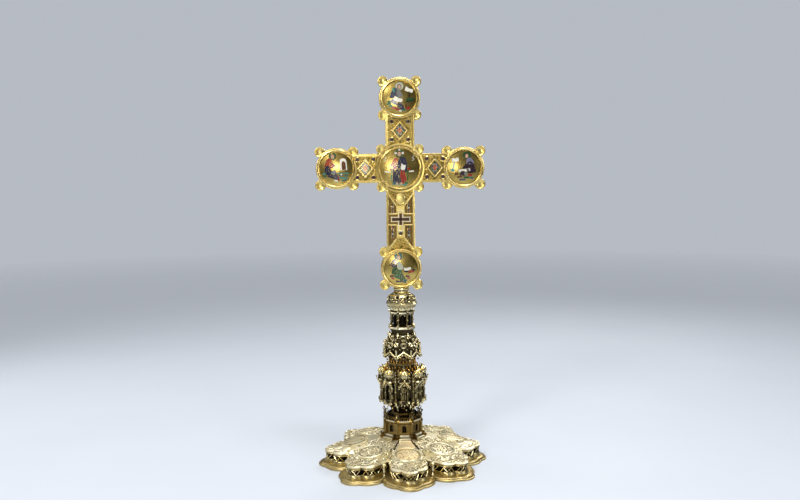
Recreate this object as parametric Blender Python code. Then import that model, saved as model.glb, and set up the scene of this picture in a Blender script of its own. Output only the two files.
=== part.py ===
"""Altar reliquary cross with enamel medallions, on an eight-sided architectural foot.

Metres, +Z up. The origin is under the middle of the foot and the cross faces -Y.
"""
import math

import bmesh
import bpy
from mathutils import Matrix, Vector

MM = 0.001

# Fits
TOUCH_GAP = 0.3 * MM
BURIED = 1.0 * MM
MERGE = 0.002 * MM

# The stand has eight sides and is turned a little under the cross
SIDES = 8
STAND_TURN = math.radians(5.0)

# Foot, seen from above: eight lobes, each with three foils
FOOT_TIP = 104.8 * MM
FOOT_CUSP = 97.5 * MM
FOOT_NOTCH = 79.5 * MM
FOOT_SIDE_BULGE = 5.0 * MM
CUSP_ANGLE = math.radians(8.5)
TIP_STEPS = 4
SIDE_STEPS = 3

# Foot, seen from the side
FLANGE_EDGE = 1.6 * MM
FLANGE_HEIGHT = 4.2 * MM
FLANGE_LEDGE = 4.6 * MM
LEDGE_TIP = 7.8 * MM
LEDGE_CUSP = 9.2 * MM
LEDGE_NOTCH = 21.5 * MM
WALL_CUSP_ANGLE = math.radians(6.3)
WALL_SIDE_BULGE = 5.0 * MM
FLANK_DISTANCE = 77.0 * MM
FLANK_ANGLE = math.radians(16.0)
WALL_HEIGHT = 13.2 * MM
WALL_MOULDING = 1.3 * MM
SHOULDER_RISE = 3.0 * MM
SHOULDER_WIDTH = 9.0 * MM
SLOPE_WIDTH = 14.0 * MM
LOBE_SLOPE = 0.18
LOBE_EDGE_RISE = 4.4 * MM
TOP_RING_RADIUS = 43.0 * MM
TOP_RADIUS = 27.0 * MM
TOP_HEIGHT = 33.0 * MM

# Trim on the foot
MEDALLION_RADIUS = 16.3 * MM
MEDALLION_RIM = 2.6 * MM
MEDALLION_HEIGHT = 1.9 * MM
MEDALLION_DISTANCE = 60.0 * MM
PINNACLE_DISTANCE = 74.0 * MM
PINNACLE_RADIUS = 1.8 * MM
PINNACLE_HEIGHT = 16.6 * MM

# Arcaded drum
DRUM_RADIUS = 23.2 * MM
DRUM_HEIGHT = 29.3 * MM
DRUM_WINDOW_WIDTH = 5.2 * MM
DRUM_WINDOW_HEIGHT = 8.8 * MM
DRUM_WINDOW_DEPTH = 2.2 * MM
DRUM_POST_RADIUS = 1.9 * MM
SILL_WIDTH = 14.8 * MM
SILL_REACH = 6.0 * MM
SILL_RISE = 2.9 * MM

# Tabernacle knop
KNOP_HEIGHT = 59.8 * MM
KNOP_FOOT_RADIUS = 11.6 * MM
KNOP_CORE_RADIUS = 20.0 * MM
KNOP_LEDGE_RADIUS = 27.4 * MM
CANOPY_DISTANCE = 24.4 * MM
CANOPY_RADIUS = 6.2 * MM
CONSOLE_REACH = 2.4 * MM
NICHE_FLOOR = 19.3 * MM
NICHE_HEIGHT = 22.0 * MM
FIGURE_RADIUS = 3.0 * MM
KNOP_COLUMN_RADIUS = 1.2 * MM

# Crown gallery
CROWN_HEIGHT = 39.0 * MM
CROWN_CORE_RADIUS = 15.6 * MM
CROWN_RADIUS = 23.0 * MM
CROWN_NECK_RADIUS = 13.4 * MM
ROUNDEL_RADIUS = 3.7 * MM
ROUNDEL_SHARE = 0.2
FINIAL_RADIUS = 1.6 * MM

# Lantern
LANTERN_HEIGHT = 26.5 * MM
LANTERN_CORE_RADIUS = 10.2 * MM
LANTERN_LEDGE_RADIUS = 16.4 * MM
LANTERN_COLUMN_RADIUS = 1.25 * MM
LANTERN_COLUMN_DISTANCE = 13.4 * MM

# Pierced cap and the collar on it
CAP_HEIGHT = 21.9 * MM
CAP_RADIUS = 18.9 * MM
CAP_TOP_RADIUS = 10.0 * MM
OCULUS_RADIUS = 1.9 * MM
OCULUS_DEPTH = 1.6 * MM
SOCKET_RADIUS = 9.7 * MM
SOCKET_HEIGHT = 5.4 * MM
SEAT_DEPTH = 0.8 * MM

# Cross
ARM_WIDTH = 35.0 * MM
ARM_THICKNESS = 11.0 * MM
REACH_SIDE = 77.0 * MM
REACH_TOP = 84.0 * MM
REACH_BOTTOM = 122.0 * MM
END_DISC_RADIUS = 25.0 * MM
CROSSING_DISC_RADIUS = 26.5 * MM
DISC_PROUD = 0.4 * MM
EAR_RADIUS = 6.2 * MM
EAR_SUNK = 0.5 * MM
EAR_STANDOFF = 3.3 * MM
CROSSING_EAR_STANDOFF = 5.5 * MM
DISH_RADIUS = 3.4 * MM
DISH_SHIFT = 1.3 * MM
DISH_DEPTH = 0.9 * MM

# Enamels in their raised rims
BEZEL_HEIGHT = 3.8 * MM
BEZEL_MARGIN = 1.5 * MM
BEZEL_WALL = 3.0 * MM
CROSSING_BEZEL_MARGIN = 1.0 * MM
CROSSING_BEZEL_WALL = 1.7 * MM
ENAMEL_THICKNESS = 1.6 * MM
ENAMEL_CROWN = 1.0 * MM

# Lozenges and the stones around them, sized by the room that the round fields leave
SIDE_ROOM = REACH_SIDE - END_DISC_RADIUS - CROSSING_DISC_RADIUS
TOP_ROOM = REACH_TOP - END_DISC_RADIUS - CROSSING_DISC_RADIUS
LOZENGE_WIDTH = 0.753 * SIDE_ROOM
LOZENGE_LENGTH = 0.714 * TOP_ROOM
LOZENGE_RIDGE = 1.3 * MM
LOZENGE_HEIGHT = 1.2 * MM
LOZENGE_SIDE = CROSSING_DISC_RADIUS + 0.608 * SIDE_ROOM
LOZENGE_TOP = CROSSING_DISC_RADIUS + 0.569 * TOP_ROOM
PLATE_SHARE = 0.82
PLATE_HEIGHT = 1.3 * MM
STONE_ACROSS = 0.51 * LOZENGE_WIDTH
STONE_ALONG = 0.466 * LOZENGE_LENGTH
STONE_RADIUS = 2.1 * MM
STONE_HEIGHT = 1.5 * MM
STONE_POCKET_DEPTH = 1.1 * MM

# Relic window and the sunk panels of the lower arm
RELIC_BELOW = 62.0 * MM
RELIC_WIDTH = 20.8 * MM
RELIC_LENGTH = 22.4 * MM
RELIC_BAR = 3.6 * MM
RELIC_FRAME_WALL = 1.5 * MM
RELIC_FRAME_PROUD = 1.0 * MM
RELIC_POCKET_DEPTH = 2.4 * MM
RELIC_WOOD_HEIGHT = 1.6 * MM
BAND_HEIGHT = 12.4 * MM
BAND_WIDTH = 30.6 * MM
PANEL_SUNK = 0.8 * MM
PANEL_GAP = 1.0 * MM
PANEL_INNER = 5.2 * MM
PANEL_TOP_BELOW = 31.5 * MM
PANEL_BOTTOM_BELOW = 97.5 * MM
PANEL_TOP_INNER_BELOW = 45.4 * MM
PANEL_BOTTOM_INNER_BELOW = 84.6 * MM
BOSS_BELOW = 37.0 * MM
BOSS_WIDTH = 9.6 * MM
BOSS_LENGTH = 11.0 * MM
BOSS_PROUD = 0.9 * MM
STRIP_ACROSS = 9.8 * MM
STRIP_WIDTH = 2.4 * MM
STRIP_HEIGHT = 1.1 * MM
STRIP_UPPER_LENGTH = 11.6 * MM
STRIP_LOWER_LENGTH = 15.6 * MM


def finish(name, colour, roughness, metallic):
    """A named surface finish."""
    material = bpy.data.materials.new(name)
    material.use_nodes = True
    shader = material.node_tree.nodes["Principled BSDF"]
    shader.inputs["Base Color"].default_value = (*colour, 1.0)
    shader.inputs["Roughness"].default_value = roughness
    shader.inputs["Metallic"].default_value = metallic
    return material


def place(name, shape, material, parent, location=(0, 0, 0), rotation=(0, 0, 0), crease=35.0):
    """Put a bmesh, or a mesh that other pieces share, into the scene as one named object."""
    if isinstance(shape, bmesh.types.BMesh):
        mesh = bpy.data.meshes.new(name)
        bmesh.ops.recalc_face_normals(shape, faces=shape.faces[:])
        shape.to_mesh(mesh)
        shape.free()
        mesh.shade_smooth()
        mesh.set_sharp_from_angle(angle=math.radians(crease))
        mesh.materials.append(material)
    else:
        mesh = shape
    obj = bpy.data.objects.new(name, mesh)
    obj.location = location
    obj.rotation_euler = rotation
    obj.parent = parent
    bpy.context.collection.objects.link(obj)
    return obj


def guide(name, shape, parent):
    """A hidden shape that only cuts or joins."""
    obj = place(name, shape, None, parent)
    obj.hide_render = True
    obj.display_type = "WIRE"
    return obj


def boolean(target, operand, operation):
    modifier = target.modifiers.new(operand.name, "BOOLEAN")
    modifier.operation = operation
    modifier.solver = "EXACT"
    modifier.object = operand


def polar(radius, angle, height=0.0):
    """A point at an angle counted from the front, towards +X."""
    return Vector((radius * math.sin(angle), -radius * math.cos(angle), height))


def face_angles():
    return [math.tau * side / SIDES for side in range(SIDES)]


def corner_angles():
    return [math.tau * (side + 0.5) / SIDES for side in range(SIDES)]


def apothem(radius):
    """Distance to the middle of a side of the stand's octagon."""
    return radius * math.cos(math.pi / SIDES)


def turned(profile, steps, phase=0.0, bm=None, matrix=None):
    """Turn a profile of (radius, height) from the axis round to the axis into a closed body."""
    body = bmesh.new()
    verts = [body.verts.new((r * math.cos(phase), r * math.sin(phase), z)) for r, z in profile]
    edges = [body.edges.new(pair) for pair in zip(verts, verts[1:])]
    bmesh.ops.spin(body, geom=verts + edges, cent=(0, 0, 0), axis=(0, 0, 1),
                   angle=math.tau, steps=steps, use_merge=True)
    bmesh.ops.remove_doubles(body, verts=body.verts[:], dist=MERGE)
    return settle(body, bm, matrix)


def ring(profile, steps, phase=0.0):
    """Turn a closed profile that stays off the axis into a ring."""
    body = bmesh.new()
    verts = [body.verts.new((r * math.cos(phase), r * math.sin(phase), z)) for r, z in profile]
    edges = [body.edges.new((a, b)) for a, b in zip(verts, verts[1:] + verts[:1])]
    bmesh.ops.spin(body, geom=verts + edges, cent=(0, 0, 0), axis=(0, 0, 1),
                   angle=math.tau, steps=steps, use_merge=True)
    return settle(body)


def prism(outline, low, high, bm=None, matrix=None):
    """Raise a flat outline between two heights."""
    body = bmesh.new()
    base = body.faces.new([body.verts.new((x, y, low)) for x, y in outline])
    raised = bmesh.ops.extrude_face_region(body, geom=[base], use_keep_orig=True)
    top = [item for item in raised["geom"] if isinstance(item, bmesh.types.BMVert)]
    bmesh.ops.translate(body, verts=top, vec=(0, 0, high - low))
    return settle(body, bm, matrix)


def settle(body, bm=None, matrix=None):
    """Point the faces outwards, place the body and, where asked, add it to a larger mesh."""
    bmesh.ops.recalc_face_normals(body, faces=body.faces[:])
    if matrix is not None:
        bmesh.ops.transform(body, matrix=matrix, verts=body.verts[:])
    if bm is None:
        return body
    mesh = bpy.data.meshes.new("joined")
    body.to_mesh(mesh)
    body.free()
    bm.from_mesh(mesh)
    bpy.data.meshes.remove(mesh)
    return bm


def loft(rings):
    """Skin a stack of rings with the same number of points and close both ends."""
    bm = bmesh.new()
    loops = [[bm.verts.new(point) for point in points] for points in rings]
    for lower, upper in zip(loops, loops[1:]):
        for i in range(len(lower)):
            j = (i + 1) % len(lower)
            bm.faces.new((lower[i], lower[j], upper[j], upper[i]))
    ends = [bm.faces.new(loops[0]), bm.faces.new(loops[-1])]
    bmesh.ops.poke(bm, faces=ends)
    return bm


def regular(radius, steps, phase=0.0):
    """Corners of a regular polygon round the origin."""
    turns = [phase + math.tau * i / steps for i in range(steps)]
    return [(radius * math.cos(turn), radius * math.sin(turn)) for turn in turns]


def rhombus(width, length):
    return [(width / 2, 0), (0, length / 2), (-width / 2, 0), (0, -length / 2)]


def plus_outline(width, length, bar):
    """A plus-shaped outline, counterclockwise."""
    w, h, b = width / 2, length / 2, bar / 2
    return [(b, -h), (b, -b), (w, -b), (w, b), (b, b), (b, h),
            (-b, h), (-b, b), (-w, b), (-w, -b), (-b, -b), (-b, -h)]


def frame_between(outer, inner, low, high):
    """A flat frame between two outlines with matching corners."""
    bm = bmesh.new()
    loops = []
    for outline, height in ((outer, low), (outer, high), (inner, high), (inner, low)):
        loops.append([bm.verts.new((x, y, height)) for x, y in outline])
    for first, second in zip(loops, loops[1:] + loops[:1]):
        for i in range(len(first)):
            j = (i + 1) % len(first)
            bm.faces.new((first[i], first[j], second[j], second[i]))
    return bm


def arc(start, end, bulge, steps):
    """Points from start up to end along an arc that stands out to the right by bulge."""
    chord = end - start
    outward = Vector((chord.y, -chord.x)).normalized()
    radius = ((chord.length / 2) ** 2 + bulge ** 2) / (2 * bulge)
    centre = (start + end) / 2 - outward * (radius - bulge)
    first = start - centre
    sweep = 2 * math.asin(min(1.0, chord.length / 2 / radius))
    return [centre + Matrix.Rotation(sweep * i / steps, 2) @ first for i in range(steps)]


def foil_outline(tip, cusp, notch, side_bulge, cusp_angle=CUSP_ANGLE, flank=None):
    """The foot's outline: eight lobes, each with a middle foil and two side foils.

    With a flank distance the side foils end there, and straight flanks run in to the notches.
    """
    points = []
    half = math.pi / SIDES
    tip_bulge = tip - cusp * math.cos(cusp_angle)
    for angle in face_angles():
        valley = polar(notch, angle - half).to_2d()
        first_cusp = polar(cusp, angle - cusp_angle).to_2d()
        second_cusp = polar(cusp, angle + cusp_angle).to_2d()
        foil_start, foil_end = valley, polar(notch, angle + half).to_2d()
        if flank:
            points.append(valley)
            foil_start = polar(flank, angle - FLANK_ANGLE).to_2d()
            foil_end = polar(flank, angle + FLANK_ANGLE).to_2d()
        points += arc(foil_start, first_cusp, side_bulge, SIDE_STEPS)
        points += arc(first_cusp, second_cusp, tip_bulge, TIP_STEPS)
        points += arc(second_cusp, foil_end, side_bulge, SIDE_STEPS)
        if flank:
            points.append(foil_end)
    return points


def at_height(outline, height):
    return [(point[0], point[1], height) for point in outline]


def flange_outline():
    return foil_outline(FOOT_TIP, FOOT_CUSP, FOOT_NOTCH, FOOT_SIDE_BULGE)


def wall_outline(inset=0.0):
    """The gallery wall's outline, set back from the flange's."""
    return foil_outline(FOOT_TIP - LEDGE_TIP - inset, FOOT_CUSP - LEDGE_CUSP - inset,
                        FOOT_NOTCH - LEDGE_NOTCH - inset, WALL_SIDE_BULGE, WALL_CUSP_ANGLE,
                        FLANK_DISTANCE - inset)


def lobe_distance(point):
    """How far out a point lies, measured along the axis of its own lobe."""
    angle = math.atan2(point[0], -point[1])
    step = math.tau / SIDES
    return math.hypot(point[0], point[1]) * math.cos(angle - step * round(angle / step))


def wall_foot():
    return FLANGE_HEIGHT + TOUCH_GAP


def wall_top():
    return wall_foot() + WALL_HEIGHT


def lobe_height(distance):
    """Height of a lobe's sloping top at a distance along its axis."""
    edge = FOOT_TIP - LEDGE_TIP
    return wall_top() + LOBE_EDGE_RISE - SHOULDER_RISE + (edge - distance) * LOBE_SLOPE


def make_foot(stand, gilt, pale_gilt):
    outer = flange_outline()
    inner = [point * (1 - FLANGE_LEDGE / point.length) for point in outer]
    flange = loft([at_height(outer, 0.0), at_height(outer, FLANGE_EDGE),
                   at_height(inner, FLANGE_HEIGHT)])
    place("foot_flange", flange, gilt, stand)

    moulding = WALL_MOULDING
    wall = wall_outline(moulding)
    rim = wall_outline()
    shoulder = [point * (1 - SHOULDER_WIDTH / point.length) for point in rim]
    slope = [point * (1 - SLOPE_WIDTH / point.length) for point in rim]
    turn = [math.atan2(point.x, -point.y) for point in rim]
    inner_ring = [polar(TOP_RING_RADIUS, angle) for angle in turn]
    rings = [
        at_height(rim, wall_foot()),
        at_height(wall, wall_foot() + 2 * moulding),
        at_height(wall, wall_top() - 1.8 * moulding),
        at_height(rim, wall_top()),
        at_height(shoulder, wall_top() + SHOULDER_RISE),
        [(p.x, p.y, lobe_height(lobe_distance(p))) for p in slope],
        [(p.x, p.y, lobe_height(lobe_distance(p))) for p in inner_ring],
        [polar(TOP_RADIUS, angle, TOP_HEIGHT) for angle in turn],
    ]
    place("foot_dome", loft(rings), pale_gilt, stand, crease=28.0)


def make_foot_medallions(stand, pale_gilt):
    """One rimmed medallion lies on the slope of each lobe."""
    floor = MEDALLION_HEIGHT * 0.55
    field = MEDALLION_RADIUS - MEDALLION_RIM
    profile = [(0, 0), (MEDALLION_RADIUS, 0), (field + 0.46 * MEDALLION_RIM, MEDALLION_HEIGHT),
               (field, floor), (0, 1.3 * floor)]
    shape = place("foot_medallion_1", turned(profile, 14, math.pi / 14), pale_gilt, stand).data
    tilt = math.atan(LOBE_SLOPE)
    lift = Vector((0, 0, TOUCH_GAP / math.cos(tilt)))
    for number, angle in enumerate(face_angles(), start=1):
        name = f"foot_medallion_{number}"
        obj = bpy.data.objects.get(name) or place(name, shape, pale_gilt, stand)
        obj.location = polar(MEDALLION_DISTANCE, angle, lobe_height(MEDALLION_DISTANCE)) + lift
        obj.rotation_euler = (tilt, 0, angle)


def make_pinnacles(stand, gilt):
    """Ball-topped buttress columns stand on the flange in the notches."""
    r, h = PINNACLE_RADIUS, PINNACLE_HEIGHT
    ball = 1.45 * r
    profile = [(0, 0), (1.3 * r, 0), (0.8 * r, 0.2 * h), (0.8 * r, h - 2.1 * ball), (ball, h - ball), (0, h)]
    shape = None
    for number, angle in enumerate(corner_angles(), start=1):
        body = shape or turned(profile, 6)
        where = polar(PINNACLE_DISTANCE, angle, FLANGE_HEIGHT + TOUCH_GAP)
        obj = place(f"foot_pinnacle_{number}", body, gilt, stand, where, (0, 0, angle))
        shape = obj.data


def arch_outline(width, height, steps=4):
    """A round-headed opening, standing on its sill at the origin."""
    half = width / 2
    spring = height - half
    head = [(half * math.cos(math.pi * i / steps), spring + half * math.sin(math.pi * i / steps))
            for i in range(steps + 1)]
    return [(-half, 0), (half, 0)] + head


def upright_on_face(angle, distance, height):
    """Stand a flat outline up against a side of the stand, its +Z pointing outwards."""
    turn = Matrix.Rotation(angle, 4, "Z")
    return turn @ Matrix.Translation((0, -distance, height)) @ Matrix.Rotation(math.pi / 2, 4, "X")


def drum_base():
    return TOP_HEIGHT + TOUCH_GAP


def make_drum(stand, gilt):
    r, z, h = DRUM_RADIUS, drum_base(), DRUM_HEIGHT
    top = z + h
    plinth, band, cornice, neck = 1.07 * r, 1.035 * r, 1.095 * r, 1.05 * KNOP_FOOT_RADIUS
    profile = [(0, z), (plinth, z), (plinth, z + 0.106 * h), (band, z + 0.14 * h), (band, z + 0.229 * h),
               (r, z + 0.263 * h), (r, z + 0.625 * h), (0.97 * cornice, z + 0.666 * h),
               (cornice, z + 0.727 * h), (0.97 * cornice, z + 0.761 * h), (0.88 * r, z + 0.898 * h),
               (1.08 * neck, z + 0.945 * h), (neck, top), (0, top)]
    drum = place("arcaded_drum", turned(profile, SIDES, math.pi / SIDES), gilt, stand)

    sills = bmesh.new()
    reach = apothem(plinth)
    tread, rise = SILL_REACH / 2, SILL_RISE
    low = z + 0.07 * rise
    stair = [(reach - tread, low), (reach + SILL_REACH, low), (reach + SILL_REACH, z + rise),
             (reach + tread, z + 1.14 * rise), (reach + tread, z + 2.1 * rise),
             (reach - tread, z + 2.2 * rise)]
    for angle in face_angles():
        across = Matrix.Rotation(angle, 4, "Z") @ Matrix.Rotation(-math.pi / 2, 4, "Z") @ Matrix.Rotation(
            math.pi / 2, 4, "X")
        prism(stair, -SILL_WIDTH / 2, SILL_WIDTH / 2, sills, across)
    boolean(drum, guide("drum_sills", sills, stand), "UNION")

    posts = bmesh.new()
    p = DRUM_POST_RADIUS
    post = [(0, z + 0.123 * h), (p, z + 0.123 * h), (0.84 * p, z + 0.645 * h), (0, z + 0.679 * h)]
    for angle in corner_angles():
        turned(post, 4, 0.0, posts, Matrix.Translation(polar(1.026 * r, angle)) @
               Matrix.Rotation(angle, 4, "Z"))
    boolean(drum, guide("drum_posts", posts, stand), "UNION")

    windows = bmesh.new()
    outline = arch_outline(DRUM_WINDOW_WIDTH, DRUM_WINDOW_HEIGHT)
    for angle in face_angles():
        matrix = upright_on_face(angle, apothem(r), z + 0.28 * h)
        prism(outline, -DRUM_WINDOW_DEPTH, 3 * DRUM_WINDOW_DEPTH, windows, matrix)
    boolean(drum, guide("drum_windows", windows, stand), "DIFFERENCE")
    return top


def make_knop(stand, gilt, base):
    z = base + TOUCH_GAP
    top = z + KNOP_HEIGHT
    taper = NICHE_FLOOR
    floor = z + taper
    head = floor + NICHE_HEIGHT
    hood = top - head
    core, ledge, foot = KNOP_CORE_RADIUS, KNOP_LEDGE_RADIUS, KNOP_FOOT_RADIUS
    profile = [(0, z), (foot, z), (1.09 * foot, z + 0.155 * taper), (0.85 * core, z + 0.378 * taper),
               (core, z + 0.585 * taper), (core, head - 0.022 * hood), (0.978 * ledge, head),
               (1.007 * ledge, head + 0.076 * hood), (1.007 * ledge, head + 0.205 * hood),
               (1.1 * core, head + 0.324 * hood), (0.975 * core, head + 0.692 * hood),
               (1.064 * CROWN_CORE_RADIUS, top), (0, top)]
    knop = place("tabernacle_knop", turned(profile, SIDES, math.pi / SIDES), gilt, stand)

    reach = ledge + CONSOLE_REACH
    root, lip = floor - 0.57 * taper, floor - 0.155 * taper
    consoles = loft([
        star_ring(0.6 * core, 0.6 * core, root, root),
        star_ring(0.95 * core, 1.05 * core, floor - 0.446 * taper, floor - 0.539 * taper),
        star_ring(0.942 * ledge, 0.96 * reach, floor - 0.197 * taper, floor - 0.228 * taper),
        star_ring(ledge, reach, lip, lip),
        star_ring(ledge, reach, floor, floor),
    ])
    boolean(knop, guide("knop_consoles", consoles, stand), "UNION")

    columns = bmesh.new()
    column = [(0, floor - BURIED), (KNOP_COLUMN_RADIUS, floor - BURIED),
              (KNOP_COLUMN_RADIUS, head + BURIED), (0, head + BURIED)]
    for angle in corner_angles():
        turned(column, 4, 0.0, columns, Matrix.Translation(polar(0.934 * ledge, angle)) @
               Matrix.Rotation(angle, 4, "Z"))
    boolean(knop, guide("knop_columns", columns, stand), "UNION")

    above = bmesh.new()
    c = CANOPY_RADIUS
    canopy = [(0, head - 0.054 * hood), (c, head - 0.054 * hood), (c, head + 0.259 * hood),
              (0.74 * c, head + 0.35 * hood), (0.84 * c, head + 0.58 * hood),
              (0.72 * c, head + 0.73 * hood), (0.14 * c, head + 0.86 * hood), (0, head + 0.99 * hood)]
    f = FIGURE_RADIUS
    figure = [(0, floor - BURIED), (f, floor - BURIED), (0.9 * f, floor + 0.6 * NICHE_HEIGHT),
              (0.34 * f, floor + 0.72 * NICHE_HEIGHT), (0.64 * f, floor + 0.82 * NICHE_HEIGHT),
              (0, floor + 0.93 * NICHE_HEIGHT)]
    for angle in face_angles():
        turned(canopy, 8, math.pi / 8, above, Matrix.Translation(polar(CANOPY_DISTANCE, angle)) @
               Matrix.Rotation(angle, 4, "Z"))
        turned(figure, 5, -math.pi / 2, above, Matrix.Translation(polar(apothem(core) + 0.7 * f, angle)) @
               Matrix.Rotation(angle, 4, "Z"))
    boolean(knop, guide("knop_canopies", above, stand), "UNION")
    return top


def star_ring(corner_radius, side_radius, corner_height, side_height):
    """Sixteen points, the corners and the middles of the sides at their own reach and height."""
    points = []
    for side in range(SIDES):
        points.append(polar(side_radius, math.tau * side / SIDES, side_height))
        points.append(polar(corner_radius, math.tau * (side + 0.5) / SIDES, corner_height))
    return points


def plain_ring(radius, height):
    return star_ring(radius, apothem(radius), height, height)


def make_crown(stand, gilt, base):
    z, h = base + TOUCH_GAP, CROWN_HEIGHT
    top = z + h
    core, wide, neck = CROWN_CORE_RADIUS, CROWN_RADIUS, CROWN_NECK_RADIUS
    under, upper = 1.122 * core, 1.284 * neck
    skirt_top = z + 0.528 * h
    eaves, ridge = skirt_top + 0.0615 * h, top - 0.128 * h
    rings = [
        plain_ring(core, z),
        plain_ring(1.058 * core, z + 0.128 * h),
        star_ring(under, apothem(under), skirt_top - 0.2205 * h, skirt_top - 0.0923 * h),
        star_ring(0.948 * wide, apothem(0.939 * wide), skirt_top - 0.21 * h, skirt_top - 0.0615 * h),
        plain_ring(0.961 * wide, skirt_top),
        plain_ring(wide, eaves),
        plain_ring(upper, ridge),
        plain_ring(1.06 * neck, top - 0.0615 * h),
        plain_ring(neck, top),
    ]
    crown = place("crown_gallery", loft(rings), gilt, stand)

    rise = ridge - eaves
    set_back = apothem(wide) - apothem(upper)
    lean = math.atan2(set_back, rise)
    height = eaves + ROUNDEL_SHARE * rise
    distance = apothem(wide) - ROUNDEL_SHARE * set_back
    ornaments = bmesh.new()
    roundel = regular(ROUNDEL_RADIUS, 8, math.pi / 8)
    for angle in face_angles():
        matrix = upright_on_face(angle, distance, height) @ Matrix.Rotation(-lean, 4, "X")
        prism(roundel, -0.43 * ROUNDEL_RADIUS, 0.32 * ROUNDEL_RADIUS, ornaments, matrix)
    f = FINIAL_RADIUS
    finial = [(0, top - 4.4 * f), (f, top - 2.75 * f), (0.9 * f, top - 1.5 * f), (0, top + 0.5 * f)]
    for angle in corner_angles():
        turned(finial, 4, 0.0, ornaments, Matrix.Translation(polar(1.194 * neck, angle)) @
               Matrix.Rotation(angle, 4, "Z"))
    boolean(crown, guide("crown_ornaments", ornaments, stand), "UNION")
    return top


def make_lantern(stand, gilt, base):
    z, h = base + TOUCH_GAP, LANTERN_HEIGHT
    top = z + h
    core, ledge = LANTERN_CORE_RADIUS, LANTERN_LEDGE_RADIUS
    foot, eaves = 1.037 * CROWN_NECK_RADIUS, 0.927 * LANTERN_LEDGE_RADIUS
    floor, lintel = z + 0.328 * h, top - 0.109 * h
    profile = [(0, z), (foot, z), (1.05 * foot, z + 0.125 * h), (ledge, z + 0.162 * h),
               (ledge, z + 0.298 * h), (0.915 * ledge, floor), (core, floor + 0.004 * h),
               (core, lintel - 0.004 * h), (0.96 * eaves, lintel), (eaves, lintel + 0.0415 * h),
               (eaves, top), (0, top)]
    lantern = place("lantern", turned(profile, SIDES, math.pi / SIDES), gilt, stand)

    columns = bmesh.new()
    r = LANTERN_COLUMN_RADIUS
    capital = 0.075 * h
    column = [(0, floor - BURIED), (1.4 * r, floor - BURIED), (0.8 * r, floor + capital),
              (0.8 * r, lintel - capital), (1.4 * r, lintel + 0.35 * capital), (0, lintel + 0.35 * capital)]
    for angle in corner_angles():
        turned(column, 5, 0.0, columns, Matrix.Translation(polar(LANTERN_COLUMN_DISTANCE, angle)) @
               Matrix.Rotation(angle, 4, "Z"))
    boolean(lantern, guide("lantern_columns", columns, stand), "UNION")
    return top


def make_cap(stand, gilt, base):
    z, h = base + TOUCH_GAP, CAP_HEIGHT
    top = z + h
    r = CAP_RADIUS
    foot, haunch, shoulder = 0.805 * LANTERN_LEDGE_RADIUS, 0.862 * r, 0.762 * r
    haunch_height, shoulder_height = z + 0.74 * h, z + 0.895 * h
    profile = [(0, z), (foot, z), (1.106 * foot, z + 0.192 * h), (0.931 * r, z + 0.306 * h),
               (r, z + 0.425 * h), (0.9365 * r, z + 0.557 * h), (haunch, haunch_height),
               (shoulder, shoulder_height), (CAP_TOP_RADIUS, top), (0, top)]
    cap = place("pierced_cap", turned(profile, 2 * SIDES, math.pi / (2 * SIDES)), gilt, stand)

    oculi = bmesh.new()
    lean = math.atan2(haunch - shoulder, shoulder_height - haunch_height)
    height, distance = (haunch_height + shoulder_height) / 2, (haunch + shoulder) / 2
    for angle in corner_angles():
        matrix = upright_on_face(angle, distance, height) @ Matrix.Rotation(-lean, 4, "X")
        prism(regular(OCULUS_RADIUS, 6), -OCULUS_DEPTH, 2 * OCULUS_DEPTH, oculi, matrix)
    boolean(cap, guide("cap_oculi", oculi, stand), "DIFFERENCE")
    return top


def make_socket(stand, gilt, base):
    """The collar, with a shallow saddle that the lowest disc of the cross sits in."""
    z, h = base + TOUCH_GAP, SOCKET_HEIGHT
    top = z + h
    r = SOCKET_RADIUS
    profile = [(0, z), (0.907 * r, z), (r, z + 0.222 * h), (0.907 * r, z + 0.481 * h),
               (r, top - 0.185 * h), (r, top), (0, top)]
    socket = place("cross_socket", turned(profile, 12, math.pi / 12), gilt, stand)
    saddle = bmesh.new()
    drop = top - SEAT_DEPTH + END_DISC_RADIUS + TOUCH_GAP
    lie_down = Matrix.Rotation(-STAND_TURN, 4, "Z") @ Matrix.Translation((0, 0, drop)) @ Matrix.Rotation(
        math.pi / 2, 4, "X")
    prism(regular(END_DISC_RADIUS + TOUCH_GAP, 24, math.pi / 24), -2 * r, 2 * r, saddle, lie_down)
    boolean(socket, guide("socket_saddle", saddle, stand), "DIFFERENCE")
    return drop - TOUCH_GAP - END_DISC_RADIUS


def disc_places():
    """Name, centre and radius of each round field of the cross."""
    return [("top", (0, REACH_TOP), END_DISC_RADIUS), ("left", (-REACH_SIDE, 0), END_DISC_RADIUS),
            ("centre", (0, 0), CROSSING_DISC_RADIUS), ("right", (REACH_SIDE, 0), END_DISC_RADIUS),
            ("bottom", (0, -REACH_BOTTOM), END_DISC_RADIUS)]


def lozenge_places():
    return [("top", (0, LOZENGE_TOP)), ("left", (-LOZENGE_SIDE, 0)), ("right", (LOZENGE_SIDE, 0))]


def stone_places():
    places = []
    for _, (x, y) in lozenge_places():
        places += [(x + sx * STONE_ACROSS, y + sy * STONE_ALONG) for sy in (1, -1) for sx in (-1, 1)]
    return places


def panel_outlines():
    """The four sunk side panels of the lower arm."""
    outer = BAND_WIDTH / 2
    band_top = RELIC_BELOW - BAND_HEIGHT / 2 - PANEL_GAP
    band_bottom = RELIC_BELOW + BAND_HEIGHT / 2 + PANEL_GAP
    panels = []
    for side in (-1, 1):
        panels.append([(side * outer, -PANEL_TOP_BELOW), (side * outer, -band_top),
                       (side * PANEL_INNER, -band_top), (side * PANEL_INNER, -PANEL_TOP_INNER_BELOW)])
        panels.append([(side * outer, -PANEL_BOTTOM_BELOW), (side * outer, -band_bottom),
                       (side * PANEL_INNER, -band_bottom), (side * PANEL_INNER, -PANEL_BOTTOM_INNER_BELOW)])
    return panels


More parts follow.
